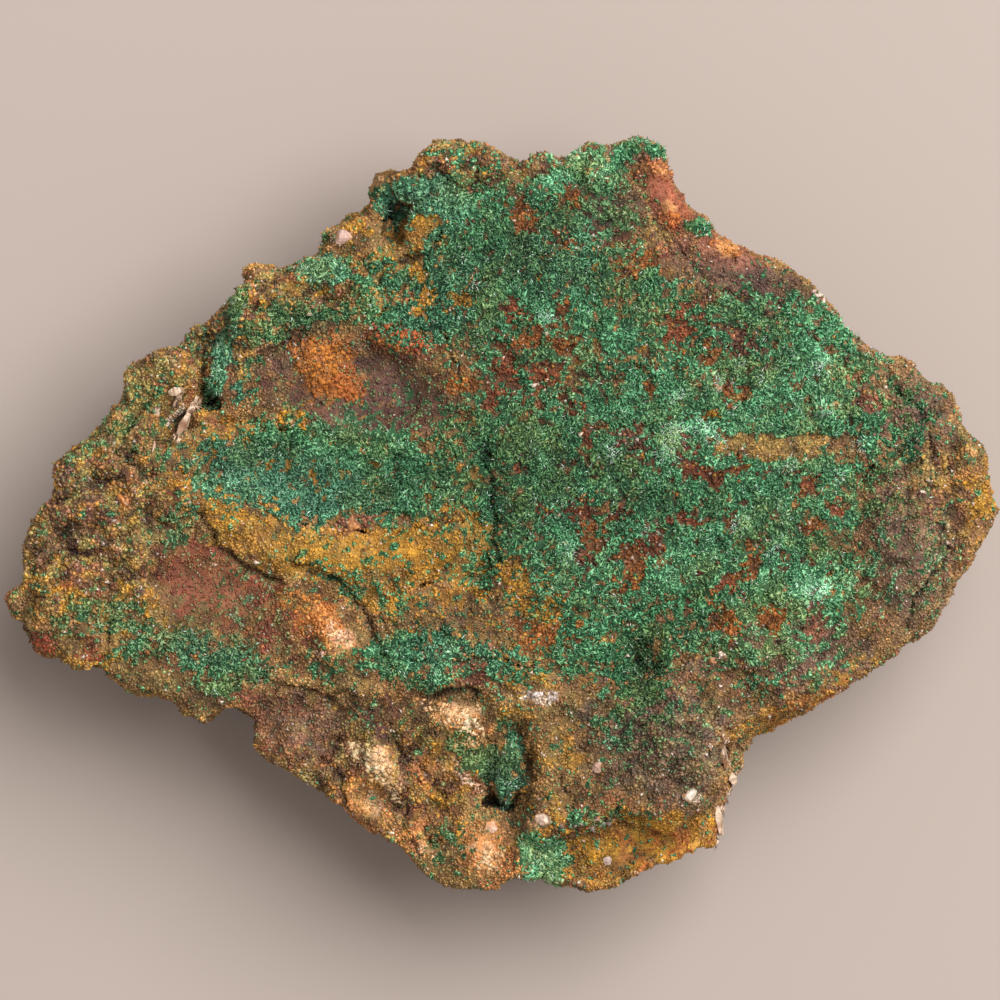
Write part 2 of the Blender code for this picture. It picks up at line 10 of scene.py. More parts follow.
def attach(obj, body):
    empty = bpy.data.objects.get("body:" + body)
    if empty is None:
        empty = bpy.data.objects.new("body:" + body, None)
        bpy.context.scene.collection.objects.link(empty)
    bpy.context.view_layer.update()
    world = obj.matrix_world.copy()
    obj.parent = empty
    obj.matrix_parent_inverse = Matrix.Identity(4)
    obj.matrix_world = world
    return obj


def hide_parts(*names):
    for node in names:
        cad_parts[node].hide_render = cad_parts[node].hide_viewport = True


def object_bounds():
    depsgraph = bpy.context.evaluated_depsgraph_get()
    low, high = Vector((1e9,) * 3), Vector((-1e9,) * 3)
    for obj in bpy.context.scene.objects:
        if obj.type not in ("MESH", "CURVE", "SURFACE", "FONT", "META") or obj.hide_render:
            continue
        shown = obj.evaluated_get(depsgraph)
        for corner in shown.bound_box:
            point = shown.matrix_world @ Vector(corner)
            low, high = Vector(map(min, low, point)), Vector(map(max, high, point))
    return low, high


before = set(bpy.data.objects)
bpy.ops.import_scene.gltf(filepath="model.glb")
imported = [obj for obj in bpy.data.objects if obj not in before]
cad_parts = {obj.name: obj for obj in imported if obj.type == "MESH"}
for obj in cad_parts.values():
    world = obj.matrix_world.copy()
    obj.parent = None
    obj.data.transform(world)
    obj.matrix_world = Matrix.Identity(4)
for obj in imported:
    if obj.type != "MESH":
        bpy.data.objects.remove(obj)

cad_low, cad_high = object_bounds()

# Places on the specimen's face are in millimetres, x along the slab and y across it.
MM = 0.001
# What is added to a place in the frame to give its place on the face as it is drawn here
FACE_SHIFT = np.array([0.27, -0.09])
# Where the random draws start
RANDOM_START = 20

# The camera looks straight down. In a picture this many pixels wide the specimen spans
# SPECIMEN_PX, and its middle lies this far below and to the right of the picture's.
PICTURE_PX = 1000
SPECIMEN_PX = 992
BELOW_MIDDLE_PX = 16
RIGHT_OF_MIDDLE_PX = 1.5
CAMERA_HEIGHT = 0.8
SENSOR_MM = 36.0
# How high the outline of the face lies, as a share of the specimen's height
OUTLINE_LEVEL = 0.6

# The skins: how fine they are, how far the crust's is grown to meet the rock's, how often and how
# strongly each is softened, and how close points of the solids are welded
ROCK_VOXEL = 0.5
CRUST_VOXEL = 0.38
CRUST_SWELL = 0.4
SOFTENED = 2
SOFTENING = 0.5
WELD = 0.01
# Their relief as width and height: rounded lumps, broken grain, and the ridges of the broken
# sides. Malachite stands CLOT_HEIGHT above bare ground.
LUMPS = ((2.6, 1.2), (1.2, 0.62))
BROKEN = (1.5, 0.24)
FRACTURED = ((7.0, 1.5), (2.6, 0.8), (1.1, 0.35))
CLOT_HEIGHT = 0.3
# The underside is flat up to FLAT_BELOW, and the relief comes in over the next FREE_OVER
FLAT_BELOW = 0.35
FREE_OVER = 0.8

# How many crumbs and sprays of needles grow on the skins, how many needles a spray has, and above
# what height they all grow
CRUMBS = 134000
SPRAYS = 3400
NEEDLES_EACH = 7
LOWEST_CRUMB = 1.2
# Their least and greatest lengths and widths, before crumbs are made larger or smaller in places
CRUMB_LENGTHS, CRUMB_WIDTHS = (0.22, 0.46), (0.3, 0.54)
NEEDLE_LENGTHS, NEEDLE_WIDTHS = (0.45, 0.95), (0.09, 0.16)
WHITE_LENGTHS, WHITE_WIDTHS = (0.35, 0.85), (0.12, 0.24)
FIBRE_LENGTHS, FIBRE_WIDTHS = (0.6, 1.6), (0.2, 0.38)
MASS_LENGTHS, MASS_WIDTHS = (0.3, 0.6), (0.4, 0.75)
# How far each kind leans at random, and how far single crumbs stray over the edges of patches
CRUMB_LEAN, NEEDLE_LEAN, WHITE_LEAN, FIBRE_LEAN, MASS_LEAN = 2.2, 0.8, 0.5, 0.07, 1.6
STRAY = 0.16
# The share of crumbs of a stray colour on the most broken ground, of pale crumbs that are painted
# glints, and of icy needles
FLECKED, PAINTED_GLINTS, ICY = 0.16, 0.012, 0.06
# How much brighter the tip of a crystal is painted than its foot: a painted highlight
TIP_HIGHLIGHT = 1.25

# Painted shade: how much darker the green skin and the bare ground are painted between crumbs,
# how much darker the seams between lumps are painted, and how much darker a hollow is painted for
# each millimetre of depth, measured from the ground's level over HOLLOW_REACH of the skin's squares,
# down to DARKEST and up to BRIGHTEST, which paints a highlight on ridges
BETWEEN_GREEN = 0.62
BETWEEN_EARTHY = 0.36
SEAM_SHADE = 0.4
HOLLOW_SHADE = 1.7
HOLLOW_REACH = 14
DARKEST, BRIGHTEST = 0.4, 1.3
# How many times the edges of a calcite blade are halved
BLADE_CUTS = 3

# How wide things are: the wide and small bends in the edges of patches, the branches, clots and
# specks of the green and the drifts in its cover, tone and hue, and the stains, islands of mineral
# and iron spots of the ground
WIDE_BENDS, SMALL_BENDS = 5.5, 1.4
BRANCHES, CLOTS, SMALL_CLOTS, SINGLE_SPECKS = 1.2, 0.7, 0.4, 0.45
COVER_DRIFTS, TONE_DRIFTS, OLIVE_DRIFTS = 4.5, 2.6, 2.8
STAINS, ISLANDS, SPOTS = 4.0, 1.3, 0.9
# How much of the sides is ochre and red, and in islands how wide
SIDE_OCHRE = (0.34, 5.0)
SIDE_RED = (0.22, 3.5)
# The materials' clots, dust and mottling. Real grain is finer, and is drawn this coarse to show.
CLOT_MM, DUST_MM, MOTTLED_MM = 0.34, 0.13, 0.36

# The palest sprays of needles: x, y, radius and number
WHITE_SPRAYS = (
    (12.7, 7.1, 1.3, 70), (18.9, 7.1, 1.3, 60), (20.2, 9.4, 1.5, 70), (22.8, 10.2, 1.4, 50),
    (5.4, 22.3, 1.3, 60), (24.6, 8.6, 1.2, 40), (25.1, 15, 1.2, 40), (30.1, 15.6, 1.2, 40),
    (27.6, 17.3, 0.9, 24), (33, 5.4, 1.4, 40), (26.8, -1.4, 1.2, 40), (30.9, -3.9, 1.3, 40),
    (16.8, -1.8, 1, 24), (8.1, -4.3, 1.3, 36), (36, -9, 1.5, 50), (41, 8, 1.1, 30), (38.6, 4.6, 1, 30),
    (36.4, 17, 1.4, 44), (-3, 26.5, 0.9, 24), (36.8, 12, 1.2, 36), (20.6, 13.6, 1.1, 30),
    (32.4, 0, 1, 26),
)


# Colours

def linear(colour):
    """An sRGB hex colour as linear red, green and blue."""
    parts = np.array([int(colour[i:i + 2], 16) for i in (1, 3, 5)]) / 255
    return np.where(parts <= 0.04045, parts / 12.92, ((parts + 0.055) / 1.055) ** 2.4)


# The ground: limonite and hematite, from earthy yellow to dark purple-brown, and calcite
BROWN = linear("#A07A4C")
MAUVE = linear("#80604C")
UMBER = linear("#604B30")
GREY_BROWN = linear("#6C5B49")
PURPLE = linear("#5E3E36")
HEMATITE = linear("#864934")
RED_BROWN = linear("#8E593A")
OCHRE = linear("#B8862C")
ORANGE = linear("#A3622A")
TAN = linear("#9A8C50")
TAWNY = linear("#C98850")
STRIP_TAN = linear("#D2AA5E")
GREY_MAUVE = linear("#6C584E")
GLASSY_RED = linear("#8C4E34")
GLASSY_ORANGE = linear("#C48A54")
CREAM = linear("#D3A880")
PINK_WHITE = linear("#DCC8B8")
CALCITE = linear("#D6BCA2")
CALCITE_STAINED = linear("#8F6448")

# The crust: malachite, deepest where it is thin and dense, palest at its needle tips
GREENS = [linear(colour) for colour in ("#1A3F24", "#2F643C", "#4C8B5E", "#7ABC8E", "#B4E2C0")]
TEALS = [linear(colour) for colour in ("#1B3F2E", "#33654A", "#528B6A", "#7CB894", "#AEDABC")]
OLIVES = [linear(colour) for colour in ("#283E1E", "#446030", "#647E45", "#869E66", "#B2C494")]
RUST = linear("#8C4C2A")
ICE_GREEN = linear("#D5EBDD")


# Where the minerals are. Each patch is x, y, half length, half width, turn in degrees and
# how strongly the mineral shows in its middle.

# The ochre bands round the dish, as half width and path, and other lines on the face
OCHRE_BANDS = (
    (2.2, ((-37, 3.4), (-34.8, 2.2), (-32.7, 0.6))), (3.2, ((-32.7, 0.4), (-28.5, -2.2))),
    (4.4, ((-28.5, -2.4), (-23, -4), (-16, -4.3))), (4.2, ((-16, -4.3), (-8, -3.4), (-2.2, -2.4))),
)
LEFT_OCHRE_LINE = ((-53.5, -7.6), (-47, -9), (-41, -9.2))
BLOCK_EDGE = ((25.8, -25), (29.5, -24), (34.6, -22.4), (38.6, -20.9), (42.4, -19.2))
GLASSY_STRIP = ((17.4, 39.6), (18.6, 37.4), (19.8, 34.2), (22.4, 31.6), (26, 29.8), (29, 29.2))
FISSURE = ((-29.6, 25.8), (-31, 21.5), (-32.3, 17.7), (-33.3, 13.4))

# The colours of the ground, laid over each other in this order
GROUND_PATCHES = (
    (MAUVE, (
        (-49, -3, 10, 11, 0, 0.5), (46.6, -3, 7, 12, 8, 1.8), (33, -15, 17, 8, -20, 1.3),
        (-22, -24.6, 10, 6, -20, 0.8), (-28, 22, 12, 6, 20, 0.4), (45, 9, 6, 9, 0, 0.7),
        (0.2, -10.5, 3.4, 6, 0, 0.7), (11.5, 35.5, 5.5, 6, 0, 0.9), (20, 27.5, 9, 6, -30, 0.8),
    )),
    (UMBER, (
        (-48, 8, 8, 7, 40, 0.4), (24, -17, 12, 4, -10, 0.6), (4, 14, 14, 16, 0, 0.5),
        (-24, 22.4, 8, 3.4, 0, 0.8), (-32, -18.6, 9, 3.4, -6, 0.7), (36, 22, 12, 7, -30, 0.5),
        (3, 28, 14, 14, 0, 0.4),
    )),
    (GREY_BROWN, (
        (20, -26, 10, 10, 0, 1), (14, -23, 7, 6, 0, 0.8), (50, 11, 5, 5, 0, 0.6), (9, 40, 12, 4, 0, 0.7),
        (34, 18, 12, 8, -30, 0.4),
    )),
    (RED_BROWN, (
        (-23, -25, 11, 6, -20, 0.7), (-36, 15, 5, 6, 0, 0.7), (-24, 28, 8, 4, 20, 0.5),
        (-3.6, -17.6, 2.6, 2.6, 0, 1.2), (22, 21.5, 4, 3.4, 0, 0.7), (3, 17, 9, 11, 0, 0.7),
        (-7, -31, 6, 6, 0, 0.7), (30, -10, 9, 4, -10, 0.6), (14, -33, 6, 3, 0, 0.6),
        (12, -39.4, 3.4, 2, 0, 1), (-38, -16, 9, 4, -15, 0.6), (-2, 41, 8, 4, 0, 0.5),
        (-31.2, 9.8, 4.6, 1.4, -36, 1.2), (23, 2, 12, 6, 0, 0.4),
    )),
    (OCHRE, (
        (-11, -7.5, 12, 5, -8, 0.75), (3, -8, 6, 6, 0, 0.4), (1, -18.5, 9, 3, 0, 0.45),
        (-5, -9, 6, 5, 0, 0.5), (-31.5, 10.2, 6.5, 3, -36, 0.7), (-9.6, 32.2, 4.4, 1.8, 33, 1.3),
        (-12.5, 27.5, 4, 6, 0, 0.6), (-45.5, 10, 8, 4.5, 40, 0.45), (54.8, 1.6, 2.6, 7, -5, 0.8),
        (17, -38.5, 13, 6, 0, 3), (-5, -26.5, 6, 3, 0, 0.5), (-7, -31, 5, 5, 0, 1.1),
        (-15, -33.5, 5.6, 4.6, -30, 1.2), (-49.5, -17, 6, 2, -10, 0.8), (-16, 35, 6, 3, 55, 0.6),
        (-44, -17, 6, 2.5, 0, 0.4), (-42, 4, 7, 7, 0, 0.28), (2, -23, 3, 2, 0, 0.6),
        (7.5, -27, 3, 4, 0, 0.5), (-14.5, 10.4, 9, 1.2, 0, 0.6), (-20, 5.4, 10, 2.4, 0, 0.32),
        (-6, 5, 6, 6, 0, 0.35), (-4, 42, 6, 3, 0, 0.25), (-47, -10, 9, 3, 0, 0.4), (1, 27, 12, 8, 0, 0.3),
        (-24, 28, 9, 4, 20, 0.5), (6, -38, 5, 6, 0, 0.5), (40, -18, 8, 3, 22, 0.5),
    )),
    (HEMATITE, (
        (-32.5, -7.4, 10.5, 5.4, -14, 1.3), (-24, -12.5, 10, 6, -30, 0.9),
        (-10.6, 19.6, 6, 3.8, -14, 1.4), (-52.4, -15.2, 3, 2.4, 0, 1.3), (-46.4, -15.8, 2.4, 2.2, 0, 1.3),
        (4, 12, 10, 9, 0, 0.3), (22, 7, 2.2, 2.4, 0, 1), (35.3, 3.2, 2.4, 2.4, 0, 1),
        (15, 29, 8, 5, 0, 0.3), (30, -6, 12, 5, 0, 0.35), (-38, -15, 8, 3, -10, 0.4),
        (34, 4, 10, 6, 0, 0.3), (-43, 8, 2.6, 2.2, 0, 0.9), (-30, -18, 8, 3, -20, 0.4),
        (-11.6, 25.6, 3.4, 2.4, 0, 0.9), (-36.8, 1, 4, 3, 0, 0.4), (10, 2, 8, 6, 0, 0.35),
    )),
    (PURPLE, (
        (-14.6, 13.6, 12.6, 6.2, -5, 2.6), (27, 27.6, 13, 4, -26, 1), (-25, 15.4, 3.4, 5, 0, 1),
        (-14.5, -23, 3.6, 4, 0, 0.8), (-20.5, -14.6, 4, 2, -40, 0.7), (0, -9, 2.4, 5, 0, 0.5),
        (2, 3, 4, 10, 0, 0.45), (-7, 14, 4, 4, 0, 0.6),
    )),
    (ORANGE, (
        (-19.4, 16.8, 5.2, 5, -20, 1.6), (-11.6, 20.4, 5, 2.4, -12, 0.8),
        (-21.6, -11.2, 5.6, 2.6, -44, 1.2), (-43, 1.4, 1.4, 1.9, 0, 1.3), (28, -4.5, 1.8, 1.5, 0, 1.1),
        (35.5, -1.8, 1.6, 1.5, 0, 1), (14.8, 28.6, 1.6, 1.2, 0, 1.1), (23.5, -11, 3, 2, 0, 0.8),
        (31, -11.5, 2.6, 2, 0, 0.8), (4.4, -12.6, 6, 4.6, 0, 1), (2.4, -6.4, 3, 3, 0, 0.7),
        (-53.6, -15.8, 2, 1.4, 0, 0.6), (17, -38, 12, 5, 0, 0.4), (36, -21.6, 12, 1.6, 22, 0.6),
        (-12, -34, 3, 2, 0, 0.5), (-48.6, -7.4, 2.4, 1.6, 0, 0.8), (-16.8, -30.6, 3, 2, 0, 0.6),
        (0, -38.8, 4, 4.4, 0, 0.6), (4.5, 35, 5, 3, 0, 0.3), (6.5, 15.5, 5, 4, 0, 0.35),
        (-31, 24.6, 3, 3, 0, 0.4), (26, 1, 12, 4, 0, 0.2),
    )),
    (TAWNY, (
        (-15.6, -33.4, 5.2, 4, -35, 1.6), (-1, -38.6, 4.6, 4.8, 0, 1.2), (-11, -36.6, 7, 4, -40, 0.9),
        (-9, -30, 3, 4, 0, 0.8), (-21.5, -28.6, 4.4, 2, -32, 0.3), (-4.6, -24, 5.6, 3.2, -14, 0.8),
        (-19.6, -12.6, 4.8, 2.2, -45, 0.8),
    )),
    (CREAM, (
        (-14.2, -28.2, 4.2, 2.2, -48, 0.8), (-12, -31.4, 2, 1.1, -60, 0.8),
        (-5.6, -22.8, 4.2, 1.8, -14, 0.8), (-18.6, -13.6, 3.4, 1.3, -46, 0.8),
        (-3.4, -30.4, 2.4, 0.7, -35, 0.6), (-1.4, -39, 2.2, 2, 0, 0.7), (4.9, -34.8, 1.4, 1, 0, 1.2),
        (12, -39.2, 2, 1, 0, 0.6), (-14.1, -33.6, 2.2, 1.4, -20, 0.7), (-8.6, -38, 2.4, 2, 0, 0.3),
        (-18, 31.8, 1.5, 1.1, 0, 1.1), (-29, 27, 4, 2, 0, 0.3), (-43, 12, 5, 3, 30, 0.2),
        (-42.6, -3, 2.4, 2, 0, 0.5),
    )),
    (TAN, (
        (-44, 11, 9, 6, 40, 0.7), (-38, 17, 8, 5, 40, 0.6), (-27, 27.4, 7, 3.4, 0, 0.5),
    )),
    (STRIP_TAN, (
        (32.2, 7.6, 10.2, 2, 0, 3),
    )),
    (PINK_WHITE, (
        (5, -20.6, 3, 0.6, 0, 1.2), (-17.9, 31.6, 0.9, 0.8, 0, 1.2), (21.7, -31.7, 1.1, 0.8, 0, 1.1),
        (24.3, -16.6, 0.9, 0.8, 0, 1), (11.1, -28.7, 0.9, 0.8, 0, 1), (-36.2, 11.4, 2.9, 0.7, 64, 1.1),
    )),
)

# How the broken ground varies: over what distance, to what colour and how strongly
TINGES = (
    (2.6, MAUVE * 1.15, 0.55), (3.2, TAN, 0.55), (2.2, RED_BROWN, 0.5), (1, RED_BROWN * 1.1, 0.75),
    (1.1, TAN * 1.1, 0.75), (0.9, PURPLE, 0.8), (0.8, OCHRE, 0.5), (0.7, UMBER * 0.8, 0.7),
)

# Where the ground is greyer
GREY_PATCHES = (
    (19, -25.5, 12, 9, 0, 1.2), (-23, -24.6, 9, 5, -20, 0.6), (34, -14, 14, 6, -18, 1),
    (46, -4, 7, 12, 8, 0.9), (28, 27, 12, 4, -28, 0.9), (-20, 19, 13, 6, 0, 0.4), (46, 12, 8, 8, 0, 0.9),
    (38, 20, 8, 5, -30, 0.6), (12, 35, 6, 6, 0, 0.8), (15.4, 41.4, 5, 3.2, 0, 0.9),
)

# The colours of single crumbs on the broken ground
FLECKS = np.array([UMBER, PURPLE, RED_BROWN, TAWNY, OCHRE, TAN, PINK_WHITE * 0.6, HEMATITE])

# How thickly the green stands: everywhere, at most, and where
COVER_ANYWHERE = 0.1
COVER_MOST = 0.98
COVER_PATCHES = (
    (18, 4, 33, 23, 0, 1.2), (32, 8, 15, 14, 0, 0.9), (1.6, 27, 15, 17, 0, 1.1), (11, 40, 9, 4, 0, 0.75),
    (31, 20, 14, 9, -25, 0.85), (-20, 5.4, 20, 8, -4, 1.6), (-8, 34.8, 8, 5, 0, 1.6),
    (-9, 24, 8, 8, 0, 0.7), (-0.5, 4, 8, 16, 0, 0.95), (-7, -16.6, 13, 4.2, -6, 1.3),
    (10, -14.5, 12, 6, 15, 0.8), (34, -9, 13, 7, 8, 0.9), (24, -13, 12, 6, 0, 0.6),
    (16, -17.5, 5, 6, 0, 1), (5.4, -39.6, 3.6, 5.2, 0, 3), (1.4, -29, 1.9, 8, 0, 1.4),
    (-7, -38, 6, 6, 0, 0.35), (-4, -27.6, 5, 3, -30, 0.8), (-34, -15.8, 11, 4, -14, 0.7),
    (-20, -17, 5, 3, 0, 0.5), (-47, -11.6, 9, 4.4, 0, 0.62), (-37.8, -1.4, 5.4, 4.2, 0, 0.66),
    (-33.6, 1.6, 5, 3, -30, 0.7), (-14, -8.5, 12, 3, -20, 0.45), (-26, 22.4, 8, 3.4, 0, 0.75),
    (-20.4, 28.2, 4.6, 2.8, 20, 1), (-20.2, 32, 1.8, 1.6, 0, 1.1), (46, 11, 7, 9, 0, 0.5),
    (17, -24, 10, 9, 0, 0.5), (-39, 8, 5, 6, 0, 0.35), (-48, 8.6, 4, 4, 0, 0.45),
    (22.8, 32.4, 1.5, 1.1, -20, 1.2), (12, -34, 10, 2.4, 0, 0.5), (-20, 23, 10, 3, 0, 0.5),
    (-32.5, 25, 4, 3, 0, 0.6), (31, -16, 13, 7, -10, 0.55), (46.6, -3, 7, 12, 8, 0.6),
    (-30, -10, 15, 8, -14, 0.34), (-40, -14, 9, 6, 0, 0.55), (-16, -4, 16, 5, -4, 0.45),
    (-32, -18.6, 9, 3.4, -6, 0.7), (-13, 13.4, 12, 5.4, -6, 0.34), (-14.5, 26.5, 6, 5, 0, 0.5),
    (-1.4, -28.4, 3.6, 3.2, -40, 0.95), (12, 33, 8, 8, 0, 0.6), (18, 26, 8, 4, -30, 0.3),
    (3, -10, 8, 8, 0, 0.5), (-24, 29.6, 4, 2.4, 0, 0.7), (15, 23.6, 10, 8, -10, 0.8),
    (-43, 12, 12, 6, 42, 0.4), (-34, 20.6, 6, 4, 30, 0.36), (-4, 42, 9, 3.4, 0, 0.45),
    (16.4, 42.2, 4.6, 2.6, 0, 1.6), (-28.6, 17, 4, 6, 0, 0.6), (40, 20.4, 9, 5, -36, 0.6),
)
# Ground that the crumbs leave bare
BARE_PATCHES = (
    (-20, 16.8, 5.4, 4.8, -20, 1.2), (-12, 14.4, 9, 5, -8, 0.2), (-35.6, -8.4, 6.6, 4.6, -14, 0.8),
    (-20.4, -12.2, 5.6, 2.2, -45, 1), (46.4, -2, 4, 8, 8, 0.5), (32.2, 7.6, 10.2, 2, 0, 3),
    (26, 30.4, 5, 2.4, -20, 1), (18.6, -38.8, 11, 6, 0, 1.4), (-14, -28.6, 5, 3, -48, 1.8),
    (-5.4, -22.8, 4.8, 2.6, -10, 1.8), (54.4, 0, 3, 8, -5, 0.8), (-1.6, -39, 3, 3, 0, 1.4),
    (-8, -30, 5, 4, 0, 0.8), (36, -21.6, 12, 1.8, 22, 1), (-50, -16, 6, 2.6, 0, 0.9),
    (-15, -33.6, 7, 5, -30, 1.4), (-23, -25, 10, 4.8, -20, 1), (-31.4, 9.9, 4.4, 1.6, -36, 0.8),
    (-36.2, 11.4, 3.2, 1.2, 64, 1), (3.5, 16, 9, 8, 0, 0.22), (12, -1, 10, 6, 0, 0.14),
    (25, 2, 12, 6, 0, 0.1), (28, 26.4, 9, 3, -28, 0.6), (0.6, -10, 3, 5, 0, 0.5),
    (-3, 41.4, 6, 2.4, 0, 0.4), (-9.6, 32.2, 3.6, 1.2, 33, 1.4), (-28, 27.8, 4, 2.4, 0, 0.6),
    (-38, 17, 6, 4, 40, 0.4),
)
# Where ochre rings the green, and where the ground between the green is painted dark, as painted shade
OCHRE_RIM_PATCHES = (
    (-44, 8, 14, 12, 40, 0.5), (-46, -11, 12, 7, 0, 0.5), (-20, 3, 22, 11, -5, 1),
    (-8, 28, 10, 9, 0, 0.8), (-28, 25, 12, 7, 15, 0.6), (2, -12, 14, 10, 0, 0.8),
    (12, 22, 18, 14, 0, 0.3), (-6, -30, 14, 14, 0, 0.7), (-31, 10, 9, 4, -36, 1),
)
DARK_PATCHES = (
    (16, 4, 36, 22, 0, 1), (4, 27, 17, 18, 0, 1), (-20, 6, 20, 6, -4, 0.5), (-9, 34.6, 7, 5, 0, 0.8),
    (30, 20, 15, 9, -25, 0.7), (12.5, 35.4, 6, 6, 0, 0.9), (18, -24, 11, 9, 0, 0.35),
)
# Where the green stands in single specks, and where it is dull and olive
FINE_PATCHES = (
    (-31, -9, 14, 8, -14, 1.2), (-14, 14, 13, 7, -6, 1.2), (-22, -25, 12, 7, -20, 1.2),
    (46.6, -3, 7, 12, 8, 0.8), (20, -27, 11, 9, 0, 0.5),
)
MUTED_PATCHES = (
    (-45, -2, 17, 24, 0, 1), (-32, -12, 17, 10, -14, 1), (-28, 24, 14, 7, 20, 0.6),
    (-15, 14, 12, 7, 0, 0.8), (20, -26, 12, 10, 0, 0.7), (46, -4, 9, 14, 0, 0.6),
    (-6, -30, 12, 14, 0, 0.5), (32, -15, 13, 7, -10, 0.7), (13, 32, 9, 9, 0, 0.6),
)
# Where the green is bright, deep, or turns to teal
BRIGHT_PATCHES = (
    (26, 9, 14, 8, 0, 0.35), (20, 8.6, 7, 3, 0, 0.5), (37, -8, 8, 5, 0, 1), (6, 22, 6, 4, 0, 0.4),
    (36, 16, 9, 6, -30, 0.6), (9, 40, 9, 3.4, 0, 0.9), (32, -14, 12, 6, -10, 0.5),
    (5.8, -39.8, 4, 5, 0, 1.2), (22, -7, 10, 5, 0, 0.3), (-6, 36, 5, 3.4, 0, 0.7),
    (-6, -17, 9, 3, 0, 0.4), (-27, 4, 8, 4, 0, 0.4), (-20.4, 28.2, 4, 2.6, 20, 0.7),
)
DEEP_PATCHES = (
    (2, 27, 14, 13, 0, 0.7), (0, 2, 5, 14, 0, 0.8), (16, -17, 5, 6, 0, 1), (1, -31, 3, 7, 0, 1),
    (24, -14, 14, 6, 0, 0.5), (10, 3, 9, 9, 0, 0.7), (20, 0, 8, 6, 0, 0.4), (25, 22, 13, 6, -32, 0.4),
    (-7, 24, 5, 6, 0, 0.6), (-25, 22.4, 8, 3, 0, 0.6),
)
TEAL_PATCHES = (
    (-25, 3.6, 16, 6.4, -6, 1.1), (-31.6, 18.4, 4, 9, 18, 1.2), (-9, 34.8, 8, 5.4, 10, 1.1),
    (-33, -15, 9, 4, -8, 0.5), (-7, 24, 8, 10, 0, 0.5), (-5, -16.6, 10, 4, 0, 0.7),
    (1.4, -30, 4, 9, 0, 0.7), (6, 29, 7, 7, 0, 0.4), (-20.4, 28.2, 4.6, 3, 20, 0.7),
)

# Glassy orange chips, and single clots of green
GLASSY_SPOTS = (
    (19, 39.2, 1.9, 1.1, -25, 1), (19.6, 34.2, 2, 1.2, -20, 0.62), (25.7, 30.7, 2.4, 1.6, -30, 1.2),
    (-42.9, 1.6, 0.9, 1.2, 0, 0.6),
)
GREEN_SPOTS = (
    (22.8, 32.4, 1.5, 1.2, -20, 1.1), (-12.1, -3.5, 0.9, 0.8, 0, 1.1), (-21.9, -3.5, 0.8, 0.7, 0, 1.1),
    (5.6, -39.6, 2.6, 3.6, 0, 1),
)

# Spots of iron staining that stand out in the green: x, y and radius
IRON_SPOTS = (
    (RUST, (
        (9.7, 9.1, 1.2), (15.6, 9.4, 0.9), (21.5, 7.5, 1.5), (22.2, 5.6, 1.4), (17.9, 5.1, 0.9),
        (24.7, 4.7, 1.3), (23.2, 5.1, 0.9), (9.4, 0.8, 1.5), (13.1, 0.2, 1.1), (15.4, -4.5, 1.9),
        (18.2, -3.4, 1.5), (20.5, -0.3, 1.3), (22.1, -0.9, 1), (1.3, 22.6, 1.8), (5.6, 15.5, 1.6),
        (21, 21.8, 2.2), (2.3, 5.4, 1.2), (5.3, 1.4, 1.3), (35.3, 3.2, 1.6), (0.6, 17, 1.5),
        (-1, 12.6, 1.4), (8, 12, 1.1), (31, 4.6, 0.9), (38.2, 1, 1.1), (26.4, -7.6, 1),
    )),
    ((PURPLE + RED_BROWN) * 0.5, (
        (14.3, 7.8, 1.6), (15.9, 6.6, 1.2), (10.1, -4.2, 1.4), (-3.6, -17.6, 2), (-16.7, -1, 1.3),
        (42, 12.6, 1.4), (35.4, -12, 1.5), (27.6, 20.4, 1.6),
    )),
    (ORANGE * 0.8, (
        (27.9, 5.1, 1.2), (26.9, 13.8, 1.5), (11.2, -2.2, 1.7), (13.8, -4.9, 1.3), (14.9, -7.2, 1.6),
        (26, -0.3, 1.3), (28, -4.2, 1.4), (28, -6.3, 1.2), (25, -12.2, 2), (3.4, 34, 1.7), (7.4, 31, 1.5),
        (8.8, 36.4, 0.9), (14.8, 28.5, 1.4), (24.6, 18.3, 1.2), (6.7, 20.3, 1.8), (3.2, 19.6, 1.6),
        (-2, 26.2, 1), (4.2, -12.9, 2.2), (35.5, -1.8, 1), (31, -11.5, 1.5), (7.2, 23.4, 1),
        (17, 15, 0.9), (-4.6, 15.4, 1.2),
    )),
    (OCHRE * 0.8, (
        (-3.9, 24.6, 1.4), (-7.9, 25.2, 1.3), (-9.8, 28.2, 1.2), (24.3, 11.2, 1.1), (5.8, -10.4, 1.5),
        (2.5, -8.9, 1.6), (-27.3, 5.9, 0.9), (-24.6, 5.6, 0.9), (-21.5, 5.2, 0.9), (-18, 5.3, 0.9),
        (-25, 11.2, 0.7), (-22.6, 10.8, 0.6), (1.2, -6.4, 1.4),
    )),
)

